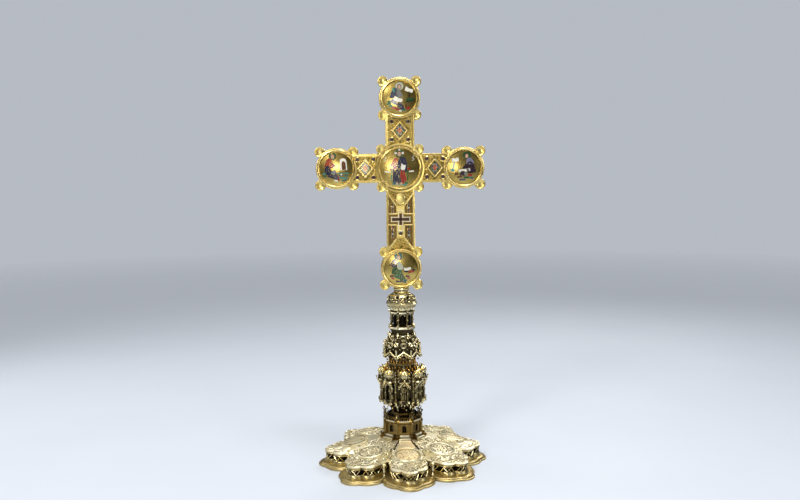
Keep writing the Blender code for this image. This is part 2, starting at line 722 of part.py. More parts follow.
def make_cross_body(cross, gold):
    half, face = ARM_WIDTH / 2, ARM_THICKNESS / 2
    disc_face = face + DISC_PROUD
    ear_face = face - EAR_SUNK
    arms = [(half, -REACH_BOTTOM), (half, -half), (REACH_SIDE, -half), (REACH_SIDE, half), (half, half),
            (half, REACH_TOP), (-half, REACH_TOP), (-half, half), (-REACH_SIDE, half), (-REACH_SIDE, -half),
            (-half, -half), (-half, -REACH_BOTTOM)]
    body = place("cross_body", prism(arms, -face, face), gold, cross)

    discs = bmesh.new()
    for _, (x, y), radius in disc_places():
        prism(regular(radius, 24, math.pi / 24), -disc_face, disc_face, discs,
              Matrix.Translation((x, y, 0)))
    boss = [(x * BOSS_WIDTH / 2, y * BOSS_LENGTH / 2) for x, y in regular(1.0, 12)]
    prism(boss, 0.0, face + BOSS_PROUD, discs, Matrix.Translation((0, -BOSS_BELOW, 0)))
    boolean(body, guide("cross_discs", discs, cross), "UNION")

    ears, dishes = bmesh.new(), bmesh.new()
    for name, (x, y), radius in disc_places():
        reach = radius + (CROSSING_EAR_STANDOFF if name == "centre" else EAR_STANDOFF)
        shift = 0.0 if name == "centre" else DISH_SHIFT
        for quarter in range(4):
            angle = math.pi / 4 + quarter * math.pi / 2
            out = Vector((math.cos(angle), math.sin(angle), 0))
            middle = Vector((x, y, 0))
            prism(regular(EAR_RADIUS, 9, angle), -ear_face, ear_face, ears,
                  Matrix.Translation(middle + out * reach))
            prism(regular(DISH_RADIUS, 8, angle), ear_face - DISH_DEPTH, 2 * ear_face, dishes,
                  Matrix.Translation(middle + out * (reach + shift)))
    boolean(body, guide("cross_ears", ears, cross), "UNION")

    for x, y in stone_places():
        prism(regular(STONE_RADIUS + 2 * TOUCH_GAP, 6), face - STONE_POCKET_DEPTH, 2 * face, dishes,
              Matrix.Translation((x, y, 0)))
    for outline in panel_outlines():
        prism(outline, face - PANEL_SUNK, 2 * face, dishes)
    boolean(body, guide("cross_dishes", dishes, cross), "DIFFERENCE")

    band = [(BAND_WIDTH / 2, -BAND_HEIGHT / 2), (BAND_WIDTH / 2, BAND_HEIGHT / 2),
            (-BAND_WIDTH / 2, BAND_HEIGHT / 2), (-BAND_WIDTH / 2, -BAND_HEIGHT / 2)]
    relic = Matrix.Translation((0, -RELIC_BELOW, 0))
    sunk = prism(band, face - 1.2 * PANEL_SUNK, 2 * face, None, relic)
    boolean(body, guide("relic_band", sunk, cross), "DIFFERENCE")
    grow = 2 * (RELIC_FRAME_WALL + TOUCH_GAP)
    pocket = plus_outline(RELIC_WIDTH + grow, RELIC_LENGTH + grow, RELIC_BAR + grow)
    well = prism(pocket, face - RELIC_POCKET_DEPTH, 3 * face, None, relic)
    boolean(body, guide("relic_pocket", well, cross), "DIFFERENCE")


def make_relic_window(cross, gold, wood):
    floor = ARM_THICKNESS / 2 - RELIC_POCKET_DEPTH + TOUCH_GAP
    where = (0, -RELIC_BELOW, 0)
    inner = plus_outline(RELIC_WIDTH, RELIC_LENGTH, RELIC_BAR)
    grow = 2 * RELIC_FRAME_WALL
    outer = plus_outline(RELIC_WIDTH + grow, RELIC_LENGTH + grow, RELIC_BAR + grow)
    rim = frame_between(outer, inner, floor, ARM_THICKNESS / 2 + RELIC_FRAME_PROUD)
    place("relic_frame", rim, gold, cross, where)
    loose = 2 * TOUCH_GAP
    slip = plus_outline(RELIC_WIDTH - loose, RELIC_LENGTH - loose, RELIC_BAR - loose)
    place("relic_wood", prism(slip, floor, floor + RELIC_WOOD_HEIGHT), wood, cross, where)


def make_enamels(cross, gold, enamel):
    """Five domed enamel plates, each in its raised rim."""
    base = ARM_THICKNESS / 2 + DISC_PROUD + TOUCH_GAP
    for name, (x, y), radius in disc_places():
        crossing = radius == CROSSING_DISC_RADIUS
        outer = radius - (CROSSING_BEZEL_MARGIN if crossing else BEZEL_MARGIN)
        inner = outer - (CROSSING_BEZEL_WALL if crossing else BEZEL_WALL)
        lip = (outer - inner) * 0.23
        profile = [(outer, 0), (outer - lip, BEZEL_HEIGHT), (inner + lip, BEZEL_HEIGHT), (inner, 0)]
        place(f"bezel_{name}", ring(profile, 20, math.pi / 20), gold, cross, (x, y, base))
        plate = inner - TOUCH_GAP
        dome = [(0, 0), (plate, 0), (plate, ENAMEL_THICKNESS), (0, ENAMEL_THICKNESS + ENAMEL_CROWN)]
        place(f"enamel_{name}", turned(dome, 20, math.pi / 20), enamel, cross, (x, y, base))


def make_lozenges(cross, gold, enamel):
    base = ARM_THICKNESS / 2 + TOUCH_GAP
    grow = 2 * LOZENGE_RIDGE * math.hypot(LOZENGE_WIDTH, LOZENGE_LENGTH)
    width, length = LOZENGE_WIDTH - grow / LOZENGE_LENGTH, LOZENGE_LENGTH - grow / LOZENGE_WIDTH
    inner = rhombus(width, length)
    outer = rhombus(LOZENGE_WIDTH, LOZENGE_LENGTH)
    for name, (x, y) in lozenge_places():
        rim = frame_between(outer, inner, 0.0, LOZENGE_HEIGHT)
        place(f"lozenge_{name}", rim, gold, cross, (x, y, base))
        plate = prism(rhombus(PLATE_SHARE * width, PLATE_SHARE * length), 0.0, PLATE_HEIGHT)
        place(f"lozenge_enamel_{name}", plate, enamel, cross, (x, y, base))


def make_stones(cross, stone):
    r, h = STONE_RADIUS, STONE_HEIGHT
    profile = [(0, 0), (r, 0), (r, 0.45 * h), (0, h)]
    base = ARM_THICKNESS / 2 - STONE_POCKET_DEPTH + TOUCH_GAP
    shape = None
    for number, (x, y) in enumerate(stone_places(), start=1):
        body = shape or turned(profile, 6)
        shape = place(f"gem_{number:02d}", body, stone, cross, (x, y, base)).data


def make_strips(cross, enamel):
    """Thin bead-enamel strips on the floors of the sunk panels."""
    base = ARM_THICKNESS / 2 - PANEL_SUNK + TOUCH_GAP
    edge = BAND_HEIGHT / 2 + PANEL_GAP + TOUCH_GAP
    number = 1
    for length, middle in ((STRIP_UPPER_LENGTH, -RELIC_BELOW + edge + STRIP_UPPER_LENGTH / 2),
                           (STRIP_LOWER_LENGTH, -RELIC_BELOW - edge - STRIP_LOWER_LENGTH / 2)):
        for side in (-1, 1):
            w, h = STRIP_WIDTH / 2, length / 2
            strip = prism([(w, -h), (w, h), (-w, h), (-w, -h)], 0.0, STRIP_HEIGHT)
            place(f"bead_strip_{number}", strip, enamel, cross, (side * STRIP_ACROSS, middle, base))
            number += 1


def group(name, location=(0, 0, 0), rotation=(0, 0, 0)):
    empty = bpy.data.objects.new(name, None)
    empty.location = location
    empty.rotation_euler = rotation
    bpy.context.collection.objects.link(empty)
    return empty


def main():
    for obj in list(bpy.data.objects):
        bpy.data.objects.remove(obj)
    gold = finish("gold", (0.83, 0.62, 0.27), 0.32, 1.0)
    gilt = finish("silver_gilt", (0.72, 0.58, 0.33), 0.25, 1.0)
    pale_gilt = finish("pale_silver_gilt", (0.86, 0.76, 0.52), 0.28, 1.0)
    enamel = finish("enamel", (0.12, 0.18, 0.38), 0.2, 0.0)
    stone = finish("garnet", (0.12, 0.01, 0.02), 0.1, 0.0)
    wood = finish("relic_wood", (0.1, 0.05, 0.03), 0.7, 0.0)

    stand = group("stand", rotation=(0, 0, STAND_TURN))
    make_foot(stand, gilt, pale_gilt)
    make_foot_medallions(stand, pale_gilt)
    make_pinnacles(stand, gilt)
    top = make_drum(stand, gilt)
    top = make_knop(stand, gilt, top)
    top = make_crown(stand, gilt, top)
    top = make_lantern(stand, gilt, top)
    top = make_cap(stand, gilt, top)
    seat = make_socket(stand, gilt, top)

    crossing = seat + TOUCH_GAP + END_DISC_RADIUS + REACH_BOTTOM
    cross = group("cross", (0, 0, crossing), (math.pi / 2, 0, 0))
    make_cross_body(cross, gold)
    make_enamels(cross, gold, enamel)
    make_lozenges(cross, gold, enamel)
    make_stones(cross, stone)
    make_relic_window(cross, gold, wood)
    make_strips(cross, enamel)


main()
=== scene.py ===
import math
import random

import bmesh
import bpy
import numpy as np
from mathutils import Matrix, Vector


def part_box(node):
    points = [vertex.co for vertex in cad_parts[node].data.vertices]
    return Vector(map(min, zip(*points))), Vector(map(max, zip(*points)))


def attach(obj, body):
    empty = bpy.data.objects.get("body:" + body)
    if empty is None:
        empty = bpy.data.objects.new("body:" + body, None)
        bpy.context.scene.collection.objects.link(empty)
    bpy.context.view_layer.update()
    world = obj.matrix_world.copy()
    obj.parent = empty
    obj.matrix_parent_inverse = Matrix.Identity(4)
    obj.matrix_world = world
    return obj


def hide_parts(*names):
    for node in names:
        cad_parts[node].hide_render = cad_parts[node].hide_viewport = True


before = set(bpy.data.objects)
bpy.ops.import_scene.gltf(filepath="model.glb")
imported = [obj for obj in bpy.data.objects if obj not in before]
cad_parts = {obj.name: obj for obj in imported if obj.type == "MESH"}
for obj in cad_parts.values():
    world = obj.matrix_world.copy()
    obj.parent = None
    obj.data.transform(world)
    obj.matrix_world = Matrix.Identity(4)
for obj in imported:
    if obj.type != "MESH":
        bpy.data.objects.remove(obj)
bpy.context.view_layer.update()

mm = 0.001
full = math.tau
quarter = math.pi / 2


# Looks

class Wire:
    # a node's output that takes + - * as a number does
    def __init__(self, look, socket):
        self.look = look
        self.socket = socket

    def maths(self, operation, first, second):
        return self.look.node("Math", {"operation": operation}, {0: first, 1: second})

    def __add__(self, other):
        return self.maths("ADD", self, other)

    def __radd__(self, other):
        return self.maths("ADD", other, self)

    def __sub__(self, other):
        return self.maths("SUBTRACT", self, other)

    def __rsub__(self, other):
        return self.maths("SUBTRACT", other, self)

    def __mul__(self, other):
        return self.maths("MULTIPLY", self, other)

    def __rmul__(self, other):
        return self.maths("MULTIPLY", other, self)


class Look:
    # one material and the nodes that feed its shader
    def __init__(self, name, **values):
        self.material = bpy.data.materials.new(name)
        self.material.use_nodes = True
        self.tree = self.material.node_tree
        self.shader = self.tree.nodes["Principled BSDF"]
        for key, value in values.items():
            self.give(self.shader.inputs[key.replace("_", " ")], value)

    def give(self, socket, value):
        if isinstance(value, Wire):
            self.tree.links.new(value.socket, socket)
        elif socket.type == "RGBA":
            socket.default_value = (*value, 1.0)
        else:
            socket.default_value = value

    def node(self, kind, settings=None, sockets=None, output=0):
        made = self.tree.nodes.new("ShaderNode" + kind)
        for key, value in (settings or {}).items():
            setattr(made, key, value)
        for key, value in (sockets or {}).items():
            self.give(made.inputs[key], value)
        return Wire(self, made.outputs[output])

    def spot(self):
        return self.node("TexCoord", output=3)   # Object coordinates, in metres

    def noise(self, scale, detail=3.0, spot=None):
        return self.node("TexNoise", None, {"Vector": spot or self.spot(), "Scale": scale, "Detail": detail})

    def ramp(self, value, low, high, toLow=0.0, toHigh=1.0):
        sockets = {"Value": value, "From Min": low, "From Max": high, "To Min": toLow, "To Max": toHigh}
        return self.node("MapRange", None, sockets)

    def blend(self, share, first, second):
        return self.node("Mix", {"data_type": "RGBA"}, {0: share, 6: first, 7: second}, output=2)

    def paintedOcclusion(self, reach):
        # painted shade: 1 in the open and 0 deep in the chasing, read from the occlusion
        settings = {"samples": 6, "only_local": True}
        return self.node("AmbientOcclusion", settings, {"Distance": reach * mm}, output=1)

    def finish(self, colour, rough, height=None, depth=0.1, strength=0.4):
        self.give(self.shader.inputs["Base Color"], colour)
        self.give(self.shader.inputs["Roughness"], rough)
        if height is not None:
            sockets = {"Strength": strength, "Distance": depth * mm, "Height": height}
            self.give(self.shader.inputs["Normal"], self.node("Bump", None, sockets))
        return self


metals = {
    # colour, tint it drifts to, colour of the painted shade in the hollows, roughness, reach of the painted
    # shade, grain, bump
    "crossGold": ((0.90, 0.72, 0.26), (0.80, 0.59, 0.17), (0.16, 0.085, 0.02), 0.30, 1.5, 900, 0.10),
    # a dark copy of the cross's gold: painted shade on the ground between the filigree wires
    "shadedFieldGold": ((0.25, 0.18, 0.045), (0.16, 0.11, 0.026), (0.05, 0.03, 0.008), 0.42, 1.3, 1100, 0.14),
    "bezelGold": ((0.97, 0.79, 0.34), (0.90, 0.68, 0.22), (0.16, 0.09, 0.02), 0.22, 1.8, 500, 0.06),
    # a dark copy of the gold: painted shade in the sunk side panels of the lower arm
    "shadedPanelGold": ((0.26, 0.17, 0.05), (0.17, 0.10, 0.03), (0.025, 0.013, 0.005), 0.36, 1.4, 900, 0.12),
    "brightGilt": ((0.82, 0.73, 0.45), (0.68, 0.56, 0.27), (0.03, 0.022, 0.009), 0.17, 2.8, 700, 0.05),
    "domeGold": ((0.98, 0.84, 0.42), (0.88, 0.64, 0.18), (0.10, 0.055, 0.012), 0.15, 2.6, 500, 0.05),
    "paleGilt": ((0.93, 0.87, 0.65), (0.88, 0.78, 0.50), (0.10, 0.07, 0.028), 0.42, 2.2, 600, 0.10),
    # a mid-tone copy of the silver-gilt: painted half shade on the knop's figures and the foot's gallery
    # mouldings
    "halfShadeGilt": ((0.60, 0.50, 0.25), (0.46, 0.36, 0.15), (0.05, 0.035, 0.012), 0.28, 3.2, 500, 0.08),
    # a dark brown copy of the silver-gilt: painted shade on the drum under the knop
    "shadedDrumGilt": ((0.26, 0.17, 0.045), (0.18, 0.10, 0.022), (0.03, 0.018, 0.006), 0.24, 3.2, 500, 0.08),
    "peachGilt": ((1.0, 0.88, 0.60), (0.98, 0.79, 0.46), (0.15, 0.085, 0.03), 0.48, 1.8, 700, 0.16),
    # a warm, darker copy of the silver-gilt: painted half shade on the crown's core and the knop's leaves
    "warmShadeGilt": ((0.62, 0.34, 0.075), (0.40, 0.20, 0.04), (0.035, 0.016, 0.005), 0.24, 3.2, 500, 0.08),
    "shadeGilt": ((0.24, 0.19, 0.085), (0.15, 0.11, 0.045), (0.02, 0.014, 0.006), 0.26, 3.2, 600, 0.10),
    # a near black copy of the silver-gilt: painted shade on the cores of the lantern, crown and knop
    "shadedCoreGilt": ((0.060, 0.046, 0.020), (0.036, 0.026, 0.011), (0.006, 0.005, 0.002), 0.32, 4.0, 600, 0.12),
    "flangeGilt": ((0.58, 0.47, 0.22), (0.42, 0.31, 0.12), (0.06, 0.04, 0.015), 0.36, 3.2, 500, 0.10),
    # near black: painted shadow for holes, niches, windows, grooves and recessed walls
    "paintedShadowGilt": ((0.014, 0.011, 0.007), (0.008, 0.006, 0.004), (0.003, 0.002, 0.001), 0.45, 4.0, 600, 0.12),
}


def metalLook(name):
    colour, drift, hollowShade, rough, reach, grain, bump = metals[name]
    look = Look(name, Metallic=1.0)
    spot = look.spot()
    cloud = look.ramp(look.noise(70.0, 4.0, spot), 0.35, 0.7)
    fine = look.noise(grain, 3.0, spot)
    # painted shade: where the occlusion finds hollows and chasing, the colour goes towards the hollow-shade
    # colour
    clear = look.ramp(look.paintedOcclusion(reach) + (fine - 0.5) * 0.25, 0.28, 0.86)
    colours = look.blend(clear, hollowShade, look.blend(cloud, colour, drift))
    dullness = rough + (1.0 - clear) * 0.22 + (fine - 0.5) * 0.12 + cloud * 0.06
    return look.finish(colours, dullness, fine, bump)


def enamelLook():
    look = Look("enamelColours", Coat_Weight=0.4, Coat_Roughness=0.06, IOR=1.52)
    colour = look.node("Attribute", {"attribute_name": "enamelColour"}, output=0)
    cloud = look.noise(700.0, 3.0)
    pits = look.ramp(look.noise(2600.0, 2.0), 0.62, 0.72)
    shade = look.node("Mix", {"data_type": "RGBA", "blend_type": "MULTIPLY"},
                      {0: look.ramp(cloud, 0.4, 0.75, 0.0, 0.55), 6: colour, 7: (0.62, 0.62, 0.66)},
                      output=2)
    return look.finish(look.blend(pits * 0.35, shade, (0.3, 0.24, 0.14)), 0.16 + cloud * 0.14, pits, 0.03,
                       0.3)


def groundLook():
    # the plates' burnished gold ground, hammered a little uneven
    look = Look("enamelGold", Metallic=1.0)
    waves = look.noise(95.0, 2.0)
    fine = look.noise(1500.0, 3.0)
    colour = look.blend(look.ramp(waves, 0.35, 0.68), (0.68, 0.51, 0.15), (0.42, 0.30, 0.075))
    return look.finish(colour, 0.19 + fine * 0.12, waves + fine * 0.06, 0.5, 0.35)


def garnetLook():
    look = Look("garnet", Coat_Weight=0.3, Coat_Roughness=0.04, IOR=1.6)
    cloud = look.noise(900.0, 3.0)
    return look.finish(look.blend(cloud, (0.012, 0.002, 0.003), (0.05, 0.005, 0.009)), 0.16 + cloud * 0.08)


def woodLook():
    look = Look("relicWood")
    stretched = look.node("Mapping", None, {"Vector": look.spot(), "Scale": (1400.0, 400.0, 160.0)})
    grain = look.noise(1.0, 6.0, stretched)
    cracks = look.ramp(look.noise(700.0, 4.0), 0.56, 0.66)
    colour = look.blend(grain, (0.035, 0.016, 0.01), (0.15, 0.07, 0.035))
    return look.finish(look.blend(cracks * 0.7, colour, (0.01, 0.006, 0.004)), 0.62 + grain * 0.2, grain,
                       0.2, 0.6)


def floorLook(clear, faded):
    # pale, and fading into the backdrop far from the object
    look = Look("paleFloor")
    spot = look.spot()
    away = look.node("VectorMath", {"operation": "LENGTH"}, {0: spot}, output=1)
    look.give(look.shader.inputs["Alpha"], look.ramp(away, clear, faded, 1.0, 0.0))
    return look.finish(look.blend(look.noise(6.0, 3.0, spot), (0.56, 0.61, 0.70), (0.60, 0.65, 0.73)), 0.6)


looks = {name: metalLook(name) for name in metals}
looks["enamel"] = enamelLook()
looks["ground"] = groundLook()
looks["garnet"] = garnetLook()
looks["wood"] = woodLook()
print("looks mixed:", len(looks))


# The bench: helpers that add shapes, in millimetres, to a mesh under way

def low(node):
    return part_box(node)[0].z / mm


def high(node):
    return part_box(node)[1].z / mm


def middle(node):
    lowest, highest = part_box(node)
    return (lowest + highest) / 2 / mm


stand = {"sides": 8, "turn": math.radians(5.0)}
crossing = middle("bezel_centre").z


def faces():
    return [full * k / stand["sides"] for k in range(stand["sides"])]


def corners():
    return [full * (k + 0.5) / stand["sides"] for k in range(stand["sides"])]


def flat(radius):
    return radius * math.cos(math.pi / stand["sides"])   # from the axis to the middle of a side


def outAt(radius, angle, height, lean=0.0):
    # local -Y points out of the stand, +Z up
    turned = twist(stand["turn"] + angle)
    return turned @ shift(0, -radius, height) @ Matrix.Rotation(lean, 4, "X")


def wallAt(radius, angle, height, lean=0.0):
    # local +Z points out of the stand, +Y up
    return outAt(radius, angle, height, quarter - lean)


def onCross(x, y, z=0.0):
    # local +X right, +Y up, +Z out of the cross's face
    return shift(0, 0, crossing) @ Matrix.Rotation(quarter, 4, "X") @ shift(x, y, z)


def sized(x, y=None, z=None):
    return Matrix.Diagonal((x, y or x, z or y or x, 1.0))


def shift(x, y, z):
    return Matrix.Translation((x, y, z))


def twist(angle):
    # a turn about the local Z
    return Matrix.Rotation(angle, 4, "Z")


def weld(bm, part, place=None):
    mesh = bpy.data.meshes.new("weld")
    bmesh.ops.recalc_face_normals(part, faces=part.faces[:])
    part.to_mesh(mesh)
    part.free()
    if place is not None:
        mesh.transform(place)
    bm.from_mesh(mesh)
    bpy.data.meshes.remove(mesh)


def spun(bm, profile, steps, place=None, closed=False, phase=0.0):
    # a profile of (radius, height) turned on the lathe
    part = bmesh.new()
    verts = [part.verts.new((r * math.cos(phase), r * math.sin(phase), z)) for r, z in profile]
    ends = verts[1:] + (verts[:1] if closed else [])
    edges = [part.edges.new(pair) for pair in zip(verts, ends)]
    bmesh.ops.spin(part, geom=verts + edges, cent=(0, 0, 0), axis=(0, 0, 1), angle=full, steps=steps,
                   use_merge=True)
    bmesh.ops.remove_doubles(part, verts=part.verts[:], dist=0.0005)
    weld(bm, part, place)


def coin(bm, radius, top, bottom, steps, place):
    spun(bm, [(0, top), (radius, top), (radius, bottom), (0, bottom)], steps, place)


def hoop(bm, radius, wire, place=None, sweep=full, start=0.0, steps=32, sides=6):
    # a bent wire, a whole ring unless sweep says less
    part = bmesh.new()
    across = twist(start) @ shift(radius, 0, 0) @ Matrix.Rotation(quarter, 4, "X")
    bmesh.ops.create_circle(part, cap_ends=False, radius=wire, segments=sides, matrix=across)
    whole = sweep >= full - 0.001
    bmesh.ops.spin(part, geom=part.verts[:] + part.edges[:], cent=(0, 0, 0), axis=(0, 0, 1), angle=sweep,
                   steps=steps, use_merge=whole)
    if not whole:
        bmesh.ops.holes_fill(part, edges=[e for e in part.edges if e.is_boundary], sides=0)
    weld(bm, part, place)


def rod(bm, start, end, wire, tipWire=None, sides=6, place=None):
    part = bmesh.new()
    start, end = Vector(start), Vector(end)
    aim = (end - start).to_track_quat("Z", "Y").to_matrix().to_4x4()
    bmesh.ops.create_cone(part, cap_ends=True, segments=sides, radius1=wire,
                          radius2=wire if tipWire is None else tipWire, depth=(end - start).length,
                          matrix=Matrix.Translation((start + end) / 2) @ aim)
    weld(bm, part, place)


def block(bm, corner, opposite, place=None, edge=0.25):
    # a box between two corners, given either way round
    part = bmesh.new()
    lows = Vector([min(pair) for pair in zip(corner, opposite)])
    highs = Vector([max(pair) for pair in zip(corner, opposite)])
    bmesh.ops.create_cube(part, size=1.0,
                          matrix=Matrix.Translation((lows + highs) / 2) @ sized(*(highs - lows)))
    if edge:
        bmesh.ops.bevel(part, geom=part.edges[:], offset=edge, segments=2, profile=0.5, affect="EDGES",
                        material=-1)
    weld(bm, part, place)


def plate(bm, outline, bottom, top, place=None, edge=0.2):
    part = bmesh.new()
    base = part.faces.new([part.verts.new((x, y, bottom)) for x, y in outline])
    raised = bmesh.ops.extrude_face_region(part, geom=[base], use_keep_orig=True)["geom"]
    verts = [item for item in raised if isinstance(item, bmesh.types.BMVert)]
    bmesh.ops.translate(part, verts=verts, vec=(0, 0, top - bottom))
    rim = [e for e in part.edges if all(v in verts for v in e.verts)]
    if edge:
        bmesh.ops.bevel(part, geom=rim, offset=edge, segments=1, profile=0.5, affect="EDGES", material=-1)
    weld(bm, part, place)


def wireAlong(bm, points, radius, closed=False, place=None):
    curve = bpy.data.curves.new("wire", "CURVE")
    curve.dimensions = "3D"
    curve.bevel_depth = radius
    curve.bevel_resolution = 1
    curve.use_fill_caps = True
    spline = curve.splines.new("POLY")
    spline.points.add(len(points) - 1)
    for knot, point in zip(spline.points, points):
        knot.co = (*point, 1.0)
    spline.use_cyclic_u = closed
    bent = bpy.data.objects.new("wire", curve)
    mesh = bpy.data.meshes.new_from_object(bent)
    if place is not None:
        mesh.transform(place)
    bm.from_mesh(mesh)
    bpy.data.meshes.remove(mesh)
    bpy.data.objects.remove(bent)
    bpy.data.curves.remove(curve)


def skin(bm, rings, bottom=True, top=True):
    # rings of points, one above the other, bridged
    loops = []
    for ring in rings:
        verts = [bm.verts.new(point) for point in ring]
        loops.append([bm.edges.new(pair) for pair in zip(verts, verts[1:] + verts[:1])])
    for lower, upper in zip(loops, loops[1:]):
        bmesh.ops.bridge_loops(bm, edges=lower + upper)
    for wanted, loop in ((bottom, loops[0]), (top, loops[-1])):
        if wanted:
            bmesh.ops.edgeloop_fill(bm, edges=loop)


def unit(build):
    # a small shape that is stamped many times
    bm = bmesh.new()
    build(bm)
    bmesh.ops.recalc_face_normals(bm, faces=bm.faces[:])
    mesh = bpy.data.meshes.new(build.__name__)
    bm.to_mesh(mesh)
    bm.free()
    return mesh


def stamp(bm, shape, places):
    if not places:
        return
    points = np.array([v.co for v in shapes[shape].vertices])
    polygons = [list(p.vertices) for p in shapes[shape].polygons]
    verts, made = [], []
    for number, place in enumerate(places):
        m = np.array(place)
        verts.append(points @ m[:3, :3].T + m[:3, 3])
        made += [[i + number * len(points) for i in polygon] for polygon in polygons]
    mesh = bpy.data.meshes.new("stamped")
    mesh.from_pydata(np.concatenate(verts).tolist(), [], made)
    bm.from_mesh(mesh)
    bpy.data.meshes.remove(mesh)


def finishPiece(bm, name, look, replaced=(), sharp=38.0):
    bmesh.ops.scale(bm, vec=(mm, mm, mm), verts=bm.verts[:])
    bmesh.ops.recalc_face_normals(bm, faces=bm.faces[:])
    mesh = bpy.data.meshes.new(name)
    bm.to_mesh(mesh)
    bm.free()
    mesh.shade_smooth()
    mesh.set_sharp_from_angle(angle=math.radians(sharp))
    mesh.materials.append(looks[look].material)
    piece = bpy.data.objects.new(name, mesh)
    bpy.context.scene.collection.objects.link(piece)
    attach(piece, "root")
    if replaced:
        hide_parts(*replaced)
    return piece


def dress(node, look):
    # a CAD node that stays gets its own finish
    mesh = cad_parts[node].data
    mesh.materials.clear()
    mesh.materials.append(looks[look].material)


def grain(bm):
    bmesh.ops.create_uvsphere(bm, u_segments=6, v_segments=4, radius=1.0)


def scroll(bm):
    hoop(bm, 1.0, 0.3, sweep=4.6, steps=7, sides=4)
    bmesh.ops.create_icosphere(bm, subdivisions=1, radius=0.44)


def leaf(bm):
    # a blade one unit long from its root, bowed and keeled
    bmesh.ops.create_uvsphere(bm, u_segments=5, v_segments=4, radius=0.5,
                              matrix=Matrix.Rotation(quarter, 4, "X"))
    for vert in bm.verts:
        x, y, z = vert.co
        reach = y + 0.5
        vert.co = (x * 0.62 * (1.25 - reach), reach, z * 0.5 + 0.34 * reach * reach + 0.08)


def knob(bm):
    bmesh.ops.create_uvsphere(bm, u_segments=12, v_segments=8, radius=1.0)


shapes = {build.__name__: unit(build) for build in (grain, scroll, leaf, knob)}


def beadLine(start, end, radius, pitch, place):
    # places for a row of beads between two points
    start, end = Vector(start), Vector(end)
    count = max(1, round((end - start).length / pitch))
    spots = [start.lerp(end, (k + 0.5) / count) for k in range(count)]
    return [place @ Matrix.Translation(spot) @ sized(radius) for spot in spots]


def beadRing(ringRadius, radius, pitch, place, height=0.0):
    count = max(6, round(full * ringRadius / pitch))
    places = []
    for k in range(count):
        turn = full * k / count
        spot = (ringRadius * math.cos(turn), ringRadius * math.sin(turn), height)
        places.append(place @ Matrix.Translation(spot) @ sized(radius))
    return places


# The cross

crossForm = {
    "half": 17.5, "face": 5.5, "floor": 4.7, "margin": 1.5, "fieldFace": 5.9,
    "earRadius": 6.2, "earOut": 3.3, "crossingEarOut": 5.5,
    "panelOuter": 15.3, "panelInner": 5.2, "panelTop": 31.5, "panelTopInner": 45.4,
    "panelBottom": 97.5, "panelBottomInner": 84.6, "bandHalf": 6.2, "ridge": 1.0,
    "scrollPitch": 2.6, "scrollSize": 1.08, "holeBelow": 79.0, "crossingMargin": 1.0, "collar": 3.4,
    "bossBelow": 37.0,
}
relicAt = middle("relic_frame").z - crossing


def fields():
    found = []
    for name in ("top", "left", "centre", "right", "bottom"):
        lowest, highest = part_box("bezel_" + name)
        spot = middle("bezel_" + name)
        rim = (highest.x - lowest.x) / 2 / mm / math.cos(math.pi / 20)
        margin = crossForm["crossingMargin" if name == "centre" else "margin"]
        found.append((name, spot.x, spot.z - crossing, rim + margin))
    return found


def lozenges():
    spots = []
    for name in ("top", "left", "right"):
        lowest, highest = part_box("lozenge_" + name)
        spot = middle("lozenge_" + name)
        spots.append((spot.x, spot.z - crossing, (highest.x - lowest.x) / 2 / mm,
                      (highest.z - lowest.z) / 2 / mm))
    return spots


def stones():
    return [(middle(f"gem_{k:02d}").x, middle(f"gem_{k:02d}").z - crossing) for k in range(1, 13)]


def panels():
    # the sunk side panels of the lower arm, as outlines
    f = crossForm
    top, bottom = relicAt + f["bandHalf"] + f["ridge"], relicAt - f["bandHalf"] - f["ridge"]
    found = []
    for side in (-1, 1):
        outer, inner = side * f["panelOuter"], side * f["panelInner"]
        found.append([(outer, -f["panelTop"]), (outer, top), (inner, top), (inner, -f["panelTopInner"])])
        found.append([(outer, -f["panelBottom"]), (outer, bottom), (inner, bottom),
                      (inner, -f["panelBottomInner"])])
    return found


def inPanel(x, y, grow=0.0):
    f = crossForm
    if abs(x) > f["panelOuter"] + grow or y > -f["panelTop"] + grow or y < -f["panelBottom"] - grow:
        return False
    if abs(y - relicAt) < f["bandHalf"] + f["ridge"] + grow:
        return True
    if abs(x) < f["panelInner"] - grow:
        return False
    share = (f["panelOuter"] - abs(x)) / (f["panelOuter"] - f["panelInner"])
    upper = -f["panelTop"] - share * (f["panelTopInner"] - f["panelTop"])
    lower = -f["panelBottom"] + share * (f["panelBottom"] - f["panelBottomInner"])
    return lower - grow < y < upper + grow


